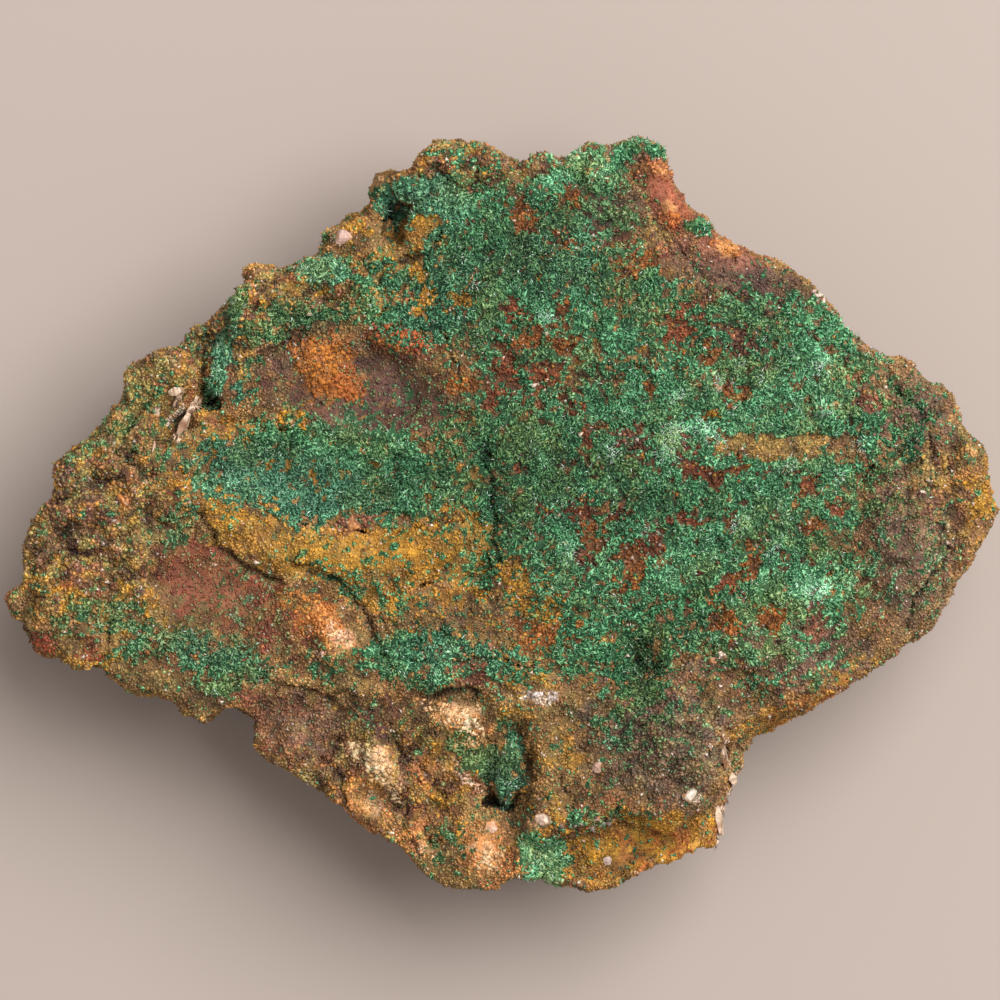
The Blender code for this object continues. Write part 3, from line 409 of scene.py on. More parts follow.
# The edge of the face as the photograph shows it, clockwise from the left tip
OUTLINE = (
    (-57.6, -9.5), (-57.1, -8.4), (-55.2, -7.6), (-55, -6), (-55.3, -2.8), (-53.8, -1.1), (-52.3, 1.9),
    (-51.2, 3.5), (-51.2, 5.9), (-49.5, 7.3), (-48.4, 8.9), (-46, 10.4), (-44.5, 12.7), (-42.8, 13.5),
    (-43.2, 15.4), (-42.6, 17.4), (-40.8, 18.7), (-37.8, 19.9), (-36.3, 21), (-35, 22.5), (-33.5, 22.6),
    (-31.2, 24.3), (-29.5, 25.9), (-29.9, 28.2), (-28.5, 29.4), (-26.1, 29.1), (-24.7, 28.5),
    (-22.7, 29.8), (-19.8, 29.9), (-20.2, 32.4), (-18.8, 33.6), (-16.5, 35.1), (-15.6, 35.1), (-14, 38.8),
    (-11.9, 39.3), (-9.1, 40.9), (-8.8, 41.9), (-6.9, 43.2), (-4.7, 43.3), (-2.8, 43), (-1, 42.6),
    (1.4, 41), (2.4, 40.7), (5, 42), (6.9, 41.6), (7.7, 41.2), (9.8, 42.6), (12.5, 42.5), (15.4, 43.6),
    (18.5, 42.8), (19.3, 41.1), (20.5, 38.4), (22.2, 35.5), (24.1, 34.5), (25.4, 32.4), (28.5, 30.9),
    (31.2, 29.6), (34.3, 28.2), (36.3, 27.6), (37.1, 25.7), (38.5, 24.1), (39.9, 22.2), (42.4, 20),
    (45.5, 18.6), (47.5, 17.8), (49.2, 16), (51.1, 15.5), (52.5, 13.9), (53.4, 10.9), (54.3, 9.8),
    (56.1, 7.5), (56.5, 5), (56.5, 3.3), (57.5, 1.1), (57.3, -1.4), (55.8, -3.3), (54.4, -5.8),
    (52.3, -8.9), (51.3, -11.2), (49.6, -13.2), (47.3, -14.9), (45.3, -16.6), (44, -18.6), (41.6, -19.9),
    (37.6, -21.7), (34.8, -23.1), (32, -24.6), (29.1, -26.1), (28.6, -27.4), (28.7, -29), (27.2, -31.5),
    (26.3, -32.7), (26, -35.2), (25.1, -38.7), (22.7, -39), (19.4, -40.4), (16.4, -41.9), (13.3, -43.6),
    (9.4, -43.4), (5.9, -42.7), (2.4, -42.2), (-0.6, -43.4), (-5, -43.8), (-7.6, -43), (-9.5, -40.9),
    (-11.7, -38.6), (-14.8, -36.5), (-17.5, -34.9), (-20.4, -32.7), (-23.8, -30.7), (-27.1, -28),
    (-28.9, -27.3), (-28.9, -25.2), (-28.7, -23.6), (-30.6, -22.5), (-31.9, -22.5), (-32.9, -24.5),
    (-34.4, -24.6), (-36.9, -22), (-39.9, -21.1), (-42.4, -20.9), (-44.7, -19.2), (-45.9, -18),
    (-48.2, -18.8), (-50.4, -16.8), (-53.3, -16.5), (-54.3, -14.1), (-54.9, -12.4), (-56.7, -10.9),
)
# How far inside that line the skin stops, which leaves room for its lumps and crumbs, over what
# distance it is eased in, and how wide a band is moved
EDGE_INSET = 1.0
EDGE_EASE = 0.35
EDGE_BAND = 2.5

# Pebbles and chips: x, y, half length, half width, turn, height and colour. Each is a ball whose
# edges are halved CHIP_CUTS times, broken by CHIP_FACES flat faces.
PEBBLES = (
    (-17.9, 31.6, 1.2, 1, 20, 0.7, "#C09D90"), (-0.9, -35.6, 1, 0.9, 0, 0.4, "#BE9C88"),
    (4.9, -34.8, 1.1, 0.8, -10, 0.4, "#C8AC98"), (24.3, -16.6, 0.8, 0.7, 0, 0.3, "#B08C78"),
    (11.1, -28.7, 0.8, 0.8, 0, 0.3, "#B3907E"), (21.7, -31.9, 1, 0.8, 15, 0.4, "#BCAE9F"),
    (-16.7, -1, 1.1, 0.8, -15, 0.3, "#7A5038"), (-39, 12, 0.8, 0.5, 70, 0.3, "#C0A08A"),
    (24.9, 14.6, 0.7, 0.6, 30, 0.3, "#A68C74"), (12.4, -39.6, 0.7, 0.5, 0, 0.3, "#BFAAA0"),
    (-20.2, -15.8, 0.5, 0.5, 0, 0.3, "#D0A894"), (36.4, 25.2, 0.7, 0.5, -40, 0.3, "#C8A496"),
    (-42.9, 1.5, 0.8, 1.1, 0, 0.4, "#B87234"), (-47, -17.2, 1, 0.6, 20, 0.4, "#BC8C38"),
)
CHIP_CUTS = 3
CHIP_FACES = 16

# Crumbly masses of one mineral: x, y, half length, half width, turn, number, and its palest and
# darkest colours
CALCITE_MASSES = (
    (-14.8, -28.2, 3.4, 1.4, -38, 170, "#DCC8A2", "#B08450"),
    (-12, -31.6, 1.7, 0.8, -60, 60, "#DCC4A0", "#A87C50"),
    (-16.4, -26.9, 1.4, 0.8, -10, 50, "#D8C49A", "#A88048"),
    (-5.8, -22.5, 3.3, 1.1, -12, 130, "#DEBE90", "#B4743C"),
    (-3.5, -23.9, 2.2, 1.3, -25, 110, "#E0CCAC", "#B48C5C"),
    (-3.3, -26.1, 1.8, 0.5, 8, 44, "#D4B080", "#A0743C"),
    (-3.6, -30.4, 2.4, 0.5, -36, 70, "#DCBAA2", "#A0704C"),
    (-1.3, -39.3, 1.9, 1.6, 0, 130, "#D8BC92", "#A87440"),
    (-18.4, -13.2, 2, 0.9, -42, 60, "#DCB898", "#AC7040"),
    (4.9, -20.5, 2.5, 0.42, -6, 64, "#C8BAB4", "#7C6458"),
    (-20, -15.8, 0.9, 0.6, 0, 16, "#DCBCA8", "#9C6C58"),
    (36.6, 25.1, 1.1, 0.6, -40, 24, "#D8C4B8", "#A07C6C"),
    (10.6, -35.2, 3, 0.7, 0, 30, "#B8A8A0", "#7C6458"),
    (52.2, -9.4, 1.2, 0.5, 60, 20, "#CCBCA8", "#947C60"),
)
LIMONITE_MASSES = (
    (-20.2, 17.4, 3.6, 2.9, -30, 420, "#C27C2C", "#8A4E20"),
    (-17.6, 14.8, 2.4, 2, -40, 150, "#B4682A", "#86441E"),
    (-11.2, 20.2, 3.4, 1.5, -14, 140, "#B0602C", "#803A24"),
    (-21.4, -10.4, 3, 1.2, -38, 120, "#CC8A42", "#9C5A24"),
    (-19.4, -12, 2, 1, -45, 60, "#CE9450", "#A0602C"),
    (18.4, 39.4, 1.8, 0.8, -30, 50, "#C88A52", "#8C4A2C"),
    (19.6, 33.8, 1.8, 0.9, -15, 50, "#C07430", "#8C4424"),
    (25.7, 30.8, 2, 1.2, -40, 70, "#CE9250", "#985428"),
    (-52.4, -15, 1.8, 1.2, 0, 60, "#A4502C", "#74301E"),
    (-46.6, -15.9, 1.4, 1, 0, 40, "#A4502C", "#74301E"),
)

# Calcite cleaved to fibres: start, end, half width and number
FIBRES = (
    ((-34.6, 13.2), (-36.8, 8.4), 0.42, 150), ((-36.5, 14.6), (-36.9, 12.6), 0.34, 50),
    ((-39.4, 8), (-39.7, 7.2), 0.2, 10), ((25.6, -25.2), (25.9, -29), 0.4, 40),
    ((27.4, -28.6), (26, -33.4), 0.35, 50), ((25.6, -33.4), (25.2, -38), 0.45, 60),
)

# Cracks, holes, level ground under the blades and the feet of small steps: half width, depth, how dark
# the painted shade in them is, and path. Where the depth is below 0 the ground rises.
CRACKS = (
    (0.5, 0.9, 1, ((-12.8, 31.8), (-11.9, 33.6), (-10.9, 35.7))),
    (1.4, 0.6, 1, ((-33.6, 13.7), (-33, 13.3))), (1.2, 0.4, 0, ((-34.7, 13), (-36.9, 8.4))),
    (0.9, 0.4, 0, ((-36.4, 14.6), (-37, 12.2))), (2.4, -1.1, 0, ((1.2, -26), (1.4, -30.6))),
    (2.6, -0.8, 0, ((-9.6, 33), (-6, 35))), (1.3, 0.9, 1, ((-0.9, -32.9), (1.8, -33.6))),
    (0.9, 0.6, 0.7, ((2.2, -26), (2.4, -33))),
    (0.7, 0.9, 0.8, ((-1.3, 8), (-0.7, 4.4), (-1.2, 2), (-0.5, -1), (-0.9, -2), (0.1, -5.6))),
    (0.6, 0.9, 0.6, ((-23.6, -5), (-20.2, -6.7), (-17.2, -9), (-14.6, -13.2), (-12.9, -16))),
    (0.5, 0.7, 0.7, ((-8.2, -20.3), (-5.4, -20.2), (-2.6, -20.7))),
    (0.5, 0.7, 0.7, ((-34.6, 0.6), (-33.4, -1.4), (-32.3, -3.4))),
    (0.5, 0.7, 0.6, ((-32.3, -3.4), (-28.8, -6.2), (-24.6, -7.4))),
    (0.5, 0.7, 0.5, ((-44.4, -12.4), (-44.8, -17.2))),
    (0.5, 0.5, 0.4, ((-30.6, -19.6), (-27.4, -19.2), (-24, -20.2), (-20.6, -19.9), (-16, -20.6))),
    (0.5, 0.5, 0.5, ((7.6, -30.4), (8, -34))), (0.5, 0.6, 0.5, ((-13.6, 29), (-9.6, 29.6), (-7.2, 32))),
    (0.5, 0.6, 0.3, ((26, 25.4), (30.6, 22.4), (36, 19.4))),
    (0.5, 0.6, 0.5, ((-10.2, -31.6), (-11.4, -35), (-9.8, -38.4))),
    (0.5, 0.7, 0.5, ((-12, -24.6), (-9.8, -27.8), (-6, -33))),
    (0.5, 0.6, 0.5, ((-20.8, -27.4), (-18, -31), (-17.2, -34))),
    (0.5, 0.6, 0.4, ((-50.6, 0.4), (-46.8, 3), (-43.4, 4.4), (-41, 8.6))),
    (0.5, 0.6, 0.4, ((-47.6, 8.4), (-43, 8.6), (-40.4, 12.6))),
    (0.5, 0.6, 0.4, ((-52, -6.4), (-48.4, -4.4), (-45.2, -5.4))),
    (0.5, 0.6, 0.4, ((46, -12.6), (47.6, -8), (50.6, -5))),
    (0.5, 0.6, 0.4, ((44.4, 16), (47.6, 11.6), (50, 6))),
    (3, -1.2, 0, ((-30, 24.6), (-31, 21.5), (-32.1, 18), (-32.6, 16.6))),
    (2.8, -1.6, 0, ((-12.8, 36.6), (-10.6, 37.4))),
)

# Hollows that are painted lit, where the painted shade of hollows is lifted
LIT_HOLLOWS = (
    (-10.6, 33.8, 5, 3.6, 50, 1), (1.4, -28.4, 1.4, 3.6, 0, 1),
)

# Rough lumps along the rims: x, y, half length, half width, turn, strength
LUMPY_PATCHES = (
    (-47, 0, 14, 20, 0, 1.1), (-30, 22, 20, 9, 20, 1.1), (-6, 41, 18, 6, 0, 1.1),
    (-15, -31, 18, 13, 0, 1), (49, 2, 10, 17, 0, 0.9), (12, -40, 16, 7, 0, 0.5),
    (20, -25, 12, 12, 0, 0.8), (12, 41, 12, 5, 0, 1), (40, 16, 10, 10, 0, 0.6), (-15, 27, 7, 5, 0, 0.9),
)
# The blades stand on ground without lumps, and smooth ground has few
BLADE_PATCHES = ((-36, 11.4, 5.4, 2.6, 64, 1.2),)
SMOOTH_PATCHES = (
    (-32.5, -8.6, 10, 5.4, -14, 0.75), (-14, 13.6, 12, 5.8, -6, 0.9), (-22, 4, 17, 5, -6, 0.6),
    (20, 36, 3, 6.4, 38, 1), (46.6, -3, 4, 7, 8, 0.3), (-14, -4, 14, 3.4, 0, 0.45),
    (26.4, 29, 6, 2.4, -24, 0.8), (-52.3, -15.3, 2, 1.6, 0, 0.9), (-14.2, -28.2, 4, 2.2, -48, 1),
    (-5.6, -22.8, 4, 2, -14, 1), (-18.4, -13.4, 3.6, 1.8, -46, 0.9), (-1.4, -39, 2.4, 2.1, 0, 1),
    (17, -38.6, 11, 4, 0, 0.8), (-15.4, -33, 5, 3.8, -38, 0.55),
)


# Fields over the specimen

# Large odd numbers that scramble a cell's number, and how many of its low bits are kept
CELL_MIX = np.array([374761393, 668265263, 2147483647])
SEED_MIX, FIRST_MIX, SECOND_MIX = 1274126177, 1103515245, 2654435769
LOW_32_BITS, LOW_16_BITS = 0xFFFFFFFF, 0xFFFF


def hashed(cells, seed):
    """A steady random number from 0 to 1 for each cell of a lattice."""
    mixed = (cells.astype(np.int64) @ CELL_MIX + seed * SEED_MIX) & LOW_32_BITS
    mixed = ((mixed ^ (mixed >> 13)) * FIRST_MIX) & LOW_32_BITS
    mixed = ((mixed ^ (mixed >> 15)) * SECOND_MIX) & LOW_32_BITS
    return ((mixed ^ (mixed >> 16)) & LOW_16_BITS) / LOW_16_BITS


# The corners of a lattice's cell, and the cells round one
CORNERS = np.array([(i, j, k) for i in (0, 1) for j in (0, 1) for k in (0, 1)])
NEIGHBOURS = np.array([(i, j, k) for i in (-1, 0, 1) for j in (-1, 0, 1) for k in (-1, 0, 1)])
# Turns the lattice away from the slab's own directions
TURNED = np.array(
    Matrix.Rotation(0.6, 3, "X") @ Matrix.Rotation(0.9, 3, "Y") @ Matrix.Rotation(0.4, 3, "Z"))


def grain(places, size, seed):
    """Smooth random values from -1 to 1 that change over about size millimetres. Each seed gives
    a pattern of its own."""
    scaled = places @ TURNED / size
    cell = np.floor(scaled)
    part = scaled - cell
    part = part * part * (3 - 2 * part)
    total = np.zeros(len(places))
    for corner in CORNERS:
        weight = np.prod(np.where(corner == 1, part, 1 - part), axis=1)
        total += weight * hashed(cell + corner, seed)
    return total * 2 - 1


def torn(places, size, seed, octaves=3):
    """A ragged grain: each octave is half as large and about half as strong as the one before."""
    total, strength = np.zeros(len(places)), 1.0
    for octave in range(octaves):
        total += strength * grain(places, size / 2 ** octave, seed + octave)
        strength *= 0.55
    return total


def botryoids(places, size, seed):
    """Rounded lumps grown against each other: 1 on top of each and 0 in the seams."""
    scaled = places @ TURNED / size
    cell = np.floor(scaled)
    nearest = np.full(len(places), 9.0)
    for step in NEIGHBOURS:
        near = cell + step
        centre = near + np.stack([hashed(near, seed + axis) for axis in range(3)], axis=1)
        nearest = np.minimum(nearest, np.sum((scaled - centre) ** 2, axis=1))
    return 1 - np.minimum(nearest, 1.0)


def smooth(value):
    """Eases a value from 0 to 1, and holds it there beyond."""
    value = np.clip(value, 0.0, 1.0)
    return value * value * (3 - 2 * value)


def patch(flat, cx, cy, half_length, half_width, turn):
    """1 in the middle of an oval, falling to 0 at its edge."""
    angle = math.radians(turn)
    dx, dy = flat[:, 0] - cx, flat[:, 1] - cy
    along = dx * math.cos(angle) + dy * math.sin(angle)
    across = dy * math.cos(angle) - dx * math.sin(angle)
    return smooth((1 - np.hypot(along / half_length, across / half_width)) * 1.35)


def patches(flat, table):
    """How strongly any of a table's patches shows at each place."""
    left = np.ones(len(flat))
    for *where, strength in table:
        left *= 1 - np.clip(strength * patch(flat, *where), 0, 1)
    return 1 - left


def round_patches(spots, growth, strength):
    """Patches that are growth times as wide as a table's round spots."""
    return [(x, y, growth * radius, growth * radius, 0, strength) for x, y, radius, *_ in spots]


def along_path(flat, path, half_width):
    """1 on a path, falling to 0 at half_width from it."""
    near = np.full(len(flat), np.inf)
    for (ax, ay), (bx, by) in zip(path, path[1:]):
        dx, dy = bx - ax, by - ay
        share = ((flat[:, 0] - ax) * dx + (flat[:, 1] - ay) * dy) / (dx * dx + dy * dy)
        share = np.clip(share, 0, 1)
        near = np.minimum(near, np.hypot(flat[:, 0] - ax - share * dx, flat[:, 1] - ay - share * dy))
    return smooth((1 - near / half_width) * 1.5)


def blend(colour, other, share):
    """A colour with a share of another mixed in, from 0 to 1 at each place."""
    share = share[:, None]
    return colour * (1 - share) + other * share


def wandering(places):
    """Places on the face, moved a little so that the edges of patches run ragged."""
    far = np.stack([torn(places, WIDE_BENDS, 11), torn(places, WIDE_BENDS, 31)], axis=1)
    near = np.stack([grain(places, SMALL_BENDS, 21), grain(places, SMALL_BENDS, 22)], axis=1)
    return places[:, :2] + FACE_SHIFT + far + 0.45 * near


def facing_up(normals):
    """1 on the face, falling to 0 where the sides overhang."""
    return smooth((normals[:, 2] + 0.1) * 1.6)


def taken(weight, places, size, seed, stray):
    """Islands about size millimetres across that fill a share of the ground equal to weight.
    stray is a small random amount for each place that sends single crumbs astray."""
    field = 0.72 * grain(places, size, seed) + 0.5 * grain(places, size * 0.42, seed + 1)
    return smooth((weight - 0.5 - field - stray) * 4.5 + 0.5) * (weight > 0.015)


def beside_green(places, normals, flat):
    """How close a place is to the edge of the green, where ochre rings it."""
    margin = green_margin(green_cover(places, normals), places, 0.0)
    return smooth(1.4 - np.abs(margin + 0.14) / 0.16) * patches(flat, OCHRE_RIM_PATCHES)


def green_margin(cover, places, stray):
    """How far a place lies inside the green, which starts above 0. The clots branch and join like
    lace, about a millimetre wide."""
    branches = 0.9 * (np.abs(grain(places, BRANCHES, 83)) - 0.27)
    clots = 0.24 * grain(places, CLOTS, 81) + 0.6 * grain(places, SMALL_CLOTS, 82)
    fine = patches(wandering(places), FINE_PATCHES)
    specked = 0.5 * fine * grain(places, SINGLE_SPECKS, 86)
    return cover - 0.5 - (1 - fine) * (branches + clots) - specked - (1 + 0.6 * fine) * stray


def broken_ground(flat):
    """Where the ground is crumbly and varied: along the rims and in the iron spots."""
    stained = sum((round_patches(spots, 2, 1) for _, spots in IRON_SPOTS), [])
    rough = np.maximum(patches(flat, LUMPY_PATCHES), patches(flat, stained))
    return np.maximum(rough, 0.35) * (1 - patches(flat, SMOOTH_PATCHES))


def ground_colour(places, normals, stray):
    """The colour of the iron-stained ground, mineral by mineral."""
    flat = wandering(places)
    colour = blend(BROWN, UMBER, smooth(0.36 + 0.7 * torn(places, STAINS, 51) + stray))
    side = blend(colour, OCHRE * 0.8, taken(SIDE_OCHRE[0], places, SIDE_OCHRE[1], 61, stray))
    side = blend(side, RED_BROWN, taken(SIDE_RED[0], places, SIDE_RED[1], 71, stray))
    for seed, (pigment, table) in enumerate(GROUND_PATCHES):
        weight = patches(flat, table)
        if pigment is OCHRE:
            for half_width, path in OCHRE_BANDS:
                weight = np.maximum(weight, along_path(flat, path, half_width))
            weight = np.maximum(weight, 0.8 * beside_green(places, normals, flat))
            weight = np.maximum(weight, 0.8 * along_path(flat, LEFT_OCHRE_LINE, 2.2))
            weight = np.maximum(weight, along_path(flat, BLOCK_EDGE, 1.6))
        weight = taken(np.clip(weight, 0, 1), places, ISLANDS, 100 + 10 * seed, stray)
        colour = blend(colour, pigment, weight)
        if pigment is PURPLE:
            glassy = blend(HEMATITE, GLASSY_RED, smooth(0.3 + torn(places, 1.6, 161)))
            colour = blend(colour, glassy, smooth(2 * along_path(flat, GLASSY_STRIP, 3.0) - 0.4))
    broken = broken_ground(flat)
    for seed, (size, pigment, strength) in enumerate(TINGES):
        tinge = smooth(2.4 * grain(places, size, 141 + 2 * seed) - 0.2) * strength * broken
        colour = blend(colour, pigment, tinge)
    colour = blend(colour, GREY_MAUVE, 0.5 * patches(flat, GREY_PATCHES))
    colour = blend(colour, GLASSY_ORANGE, smooth(3 * patches(flat, GLASSY_SPOTS) - 1))
    for pigment, spots in IRON_SPOTS:
        spot = patches(flat, round_patches(spots, 1.9, 1.2))
        colour = blend(colour, pigment, taken(spot, places, SPOTS, 170, stray))
    colour = blend(side, colour, facing_up(normals))
    shade = 1 + 0.28 * grain(places, 0.6, 42) + (0.15 + 0.2 * broken) * grain(places, 1.3, 43)
    # Painted shade on the ground between the green
    shade *= 1 - 0.42 * patches(flat, DARK_PATCHES)
    return np.clip(colour * shade[:, None], 0, 1)


def green_cover(places, normals):
    """How much of the ground the green hides, from 0 to 1."""
    flat = wandering(places)
    cover = np.maximum(COVER_MOST * patches(flat, COVER_PATCHES), COVER_ANYWHERE)
    cover = np.maximum(cover, 1.3 * along_path(flat, FISSURE, 1.6))
    cover = cover * (1 - patches(flat, BARE_PATCHES)) + 0.02
    for half_width, path in OCHRE_BANDS:
        cover = cover * (1 - 0.5 * along_path(flat, path, 0.85 * half_width))
    cover = cover * (1 - 0.95 * along_path(flat, GLASSY_STRIP, 2.6))
    cover += 0.12 * torn(places, COVER_DRIFTS, 85) * smooth(cover * 3)
    for _, spots in IRON_SPOTS:
        cover *= 1 - patches(flat, round_patches(spots, 1.5, 0.6))
    cover = np.maximum(cover, patches(flat, GREEN_SPOTS))
    return np.clip(cover, 0, 1) * (0.1 + 0.9 * facing_up(normals))


def is_green(places, normals, stray):
    """1 where malachite stands and 0 on bare ground."""
    cover = green_cover(places, normals)
    return smooth(green_margin(cover, places, stray) * 4.0 + 0.5) * (cover > 0.015)


def green_colour(places, chance):
    """The green of each crumb. chance, from 0 to 1, spreads neighbours from dark to pale."""
    flat = wandering(places)
    # Along the fissure the green is painted brighter, as painted light in its shaded valley
    bright = np.maximum(patches(flat, BRIGHT_PATCHES), 0.2 * along_path(flat, FISSURE, 2.0))
    bright = bright + patches(flat, round_patches(WHITE_SPRAYS, 1.3, 1))
    teal = patches(flat, TEAL_PATCHES)
    muted = patches(flat, MUTED_PATCHES) * (1 - teal)
    olive = smooth(0.28 + 0.4 * muted + 0.55 * torn(places, OLIVE_DRIFTS, 95) + 0.5 * (chance - 0.5))
    tone = 0.38 + 0.2 * bright - 0.15 * patches(flat, DEEP_PATCHES)
    tone += 0.1 * torn(places, TONE_DRIFTS, 91) + 0.14 * grain(places, 0.9, 97)
    tone += 0.55 * (chance - 0.5) + 0.08 * muted
    steps = np.linspace(0, 1, len(GREENS))
    green, blue, yellow = (
        np.stack([np.interp(tone, steps, [colour[i] for colour in tones]) for i in range(3)], axis=1)
        for tones in (GREENS, TEALS, OLIVES))
    return blend(blend(green, blue, teal), yellow, olive * (1 - 0.5 * teal))


# Materials

def add_node(tree, kind, settings=None, inputs=None):
    """Adds a node. settings are its own properties, and inputs are values or links by socket."""
    node = tree.nodes.new(kind)
    for name, value in (settings or {}).items():
        setattr(node, name, value)
    for name, value in (inputs or {}).items():
        if isinstance(value, bpy.types.NodeSocket):
            tree.links.new(value, node.inputs[name])
        else:
            node.inputs[name].default_value = value
    return node


def new_material(name, **finish):
    """A material with its node tree and its shader, and constants on the shader's own sockets."""
    material = bpy.data.materials.new(name)
    material.use_nodes = True
    tree = material.node_tree
    shader = tree.nodes["Principled BSDF"]
    for socket, value in finish.items():
        shader.inputs[socket.replace("_", " ")].default_value = value
    return material, tree, shader


def specks(tree, size_mm, detail=2.0):
    """Specks about size_mm across, as values round 0.5."""
    where = add_node(tree, "ShaderNodeTexCoord")
    texture = add_node(tree, "ShaderNodeTexNoise", inputs={
        "Vector": where.outputs["Object"], "Scale": 1 / (size_mm * MM), "Detail": detail,
    })
    return texture.outputs["Fac"]


def mottled(tree, colour, pattern, low, high):
    """A colour made darker and lighter by a pattern of specks."""
    scale = add_node(tree, "ShaderNodeMapRange", inputs={
        "Value": pattern, "From Min": 0.3, "From Max": 0.7, "To Min": low, "To Max": high,
    })
    return add_node(tree, "ShaderNodeVectorMath", {"operation": "SCALE"},
                    {0: colour, "Scale": scale.outputs["Result"]}).outputs["Vector"]


def skin_material(name, reflection, depth_mm):
    """Ground and malachite in specks of a third of a millimetre, as many green as the stored
    cover says, with grit of depth_mm that dulls the surface. Worn ground stays smoother."""
    material, tree, shader = new_material(name, Specular_IOR_Level=reflection)
    rough, cover, ground, green = (
        add_node(tree, "ShaderNodeAttribute", {"attribute_name": stored}).outputs
        for stored in ("rough", "cover", "ground", "green"))
    tree.links.new(rough["Fac"], shader.inputs["Roughness"])
    clots, dust = specks(tree, CLOT_MM, 2.0), specks(tree, DUST_MM, 1.0)
    field = add_node(tree, "ShaderNodeMath", {"operation": "ADD"}, {0: cover["Fac"], 1: clots})
    share = add_node(tree, "ShaderNodeMapRange", inputs={
        "Value": field.outputs["Value"], "From Min": 0.92, "From Max": 1.04,
    })
    mixed = add_node(tree, "ShaderNodeMix", {"data_type": "RGBA"}, {
        "Factor": share.outputs["Result"], 6: ground["Color"], 7: green["Color"],
    })
    colour = mottled(tree, mixed.outputs[2], specks(tree, MOTTLED_MM, 4.0), 0.66, 1.34)
    colour = mottled(tree, colour, dust, 0.72, 1.28)
    tree.links.new(colour, shader.inputs["Base Color"])
    height = add_node(tree, "ShaderNodeMath", {"operation": "ADD"}, {0: clots, 1: dust})
    grit = add_node(tree, "ShaderNodeBump", inputs={
        "Strength": rough["Fac"], "Distance": depth_mm * MM, "Height": height.outputs["Value"],
    })
    tree.links.new(grit.outputs["Normal"], shader.inputs["Normal"])
    return material


def gossan_rock():
    """Limonite and hematite rock, broken and weathered: dull and earthy."""
    return skin_material("limonite_hematite_rock_broken", 0.35, 0.14)


def malachite_crust():
    """Malachite, grown as a dense crust: green, and a little silkier than the rock around it."""
    return skin_material("malachite_crust_grown", 0.5, 0.12)


def crumb_material(name, roughness, reflection, fleck_mm):
    """Small crystals or crumbs with a colour each, mottled so that no face is flat in tone."""
    material, tree, shader = new_material(name, Roughness=roughness, IOR=reflection)
    tone = add_node(tree, "ShaderNodeAttribute", {"attribute_name": "tone"})
    colour = mottled(tree, tone.outputs["Color"], specks(tree, fleck_mm), 0.68, 1.32)
    tree.links.new(colour, shader.inputs["Base Color"])
    return material


def malachite_crystal():
    """Malachite, grown as fine silky crystals: a satin shine from many small flat faces."""
    return crumb_material("malachite_crystal_grown", 0.42, 1.65, 0.15)


def limonite_crumb():
    """Limonite and hematite, weathered to crumbs: earthy, barely shining."""
    return crumb_material("limonite_crumb_weathered", 0.66, 1.45, 0.18)


def calcite_cleaved():
    """Calcite, cleaved to blades: creamy, stained pink along its cracks, with a pearly shine."""
    material, tree, shader = new_material("calcite_cleaved", Roughness=0.38, IOR=1.55)
    tone = add_node(tree, "ShaderNodeAttribute", {"attribute_name": "tone"})
    colour = mottled(tree, tone.outputs["Color"], specks(tree, 0.3, 3.0), 0.75, 1.15)
    tree.links.new(colour, shader.inputs["Base Color"])
    ripples = add_node(tree, "ShaderNodeBump", inputs={
        "Strength": 0.5, "Distance": 0.06 * MM, "Height": specks(tree, 0.25, 2.0),
    })
    tree.links.new(ripples.outputs["Normal"], shader.inputs["Normal"])
    return material


def studio_paper():
    """Matt paper, pressed smooth: pale warm grey, with soft shadows and no shine."""
    material, _, shader = new_material("matt_paper", Roughness=0.95, Specular_IOR_Level=0.1)
    shader.inputs["Base Color"].default_value = (*linear("#A79B94"), 1)
    return material


# Meshes

def show(name, mesh, material, slot, *replaced):
    """Puts a piece in the scene, on the specimen's body, in place of the nodes replaced."""
    piece = bpy.data.objects.new(name, mesh)
    bpy.context.scene.collection.objects.link(piece)
    mesh.materials.clear()
    mesh.materials.append(material)
    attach(piece, "root")
    if replaced:
        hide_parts(*replaced)


def vertex_values(mesh, name):
    """The places or normals of a mesh's points."""
    values = np.empty(len(mesh.vertices) * 3, np.float32)
    mesh.vertices.foreach_get(name, values)
    return values.reshape(-1, 3).astype(float)


def place_points(mesh, places):
    """Puts a mesh's points at places in millimetres."""
    mesh.vertices.foreach_set("co", (places * MM).astype(np.float32).ravel())
    mesh.update()


def store_colours(mesh, name, colours):
    """Keeps a colour for each point, for the materials to read."""
    layer = mesh.color_attributes.new(name, "FLOAT_COLOR", "POINT")
    with_alpha = np.column_stack([colours, np.ones(len(colours))]).astype(np.float32)
    layer.data.foreach_set("color", with_alpha.ravel())


def store_values(mesh, name, values):
    """Keeps a value for each point."""
    mesh.attributes.new(name, "FLOAT", "POINT").data.foreach_set("value", values.astype(np.float32))


def evened(mesh, voxel):
    """The same form in even squares of voxel millimetres, softened a little."""
    form = bpy.data.objects.new("form", mesh)
    bpy.context.scene.collection.objects.link(form)
    remesh = form.modifiers.new("even_skin", "REMESH")
    remesh.mode = "VOXEL"
    remesh.voxel_size = voxel * MM
    soften = form.modifiers.new("soften", "SMOOTH")
    soften.factor = SOFTENING
    soften.iterations = SOFTENED
    bpy.context.view_layer.update()
    graph = bpy.context.evaluated_depsgraph_get()
    skin = bpy.data.meshes.new_from_object(form.evaluated_get(graph))
    bpy.data.objects.remove(form)
    return skin


def even_skin(node, voxel, swell):
    """A solid's form as one closed skin of even squares, grown by swell millimetres, so that the
    crust's skin meets the rock's without a slit."""
    mesh = node.data.copy()
    work = bmesh.new()
    work.from_mesh(mesh)
    bmesh.ops.remove_doubles(work, verts=work.verts, dist=WELD * MM)
    work.normal_update()
    for vert in work.verts:
        vert.co += vert.normal * swell * MM
    work.to_mesh(mesh)
    work.free()
    mesh = evened(mesh, voxel)
    place_points(mesh, drawn_in(vertex_values(mesh, "co") / MM))
    return evened(mesh, voxel)


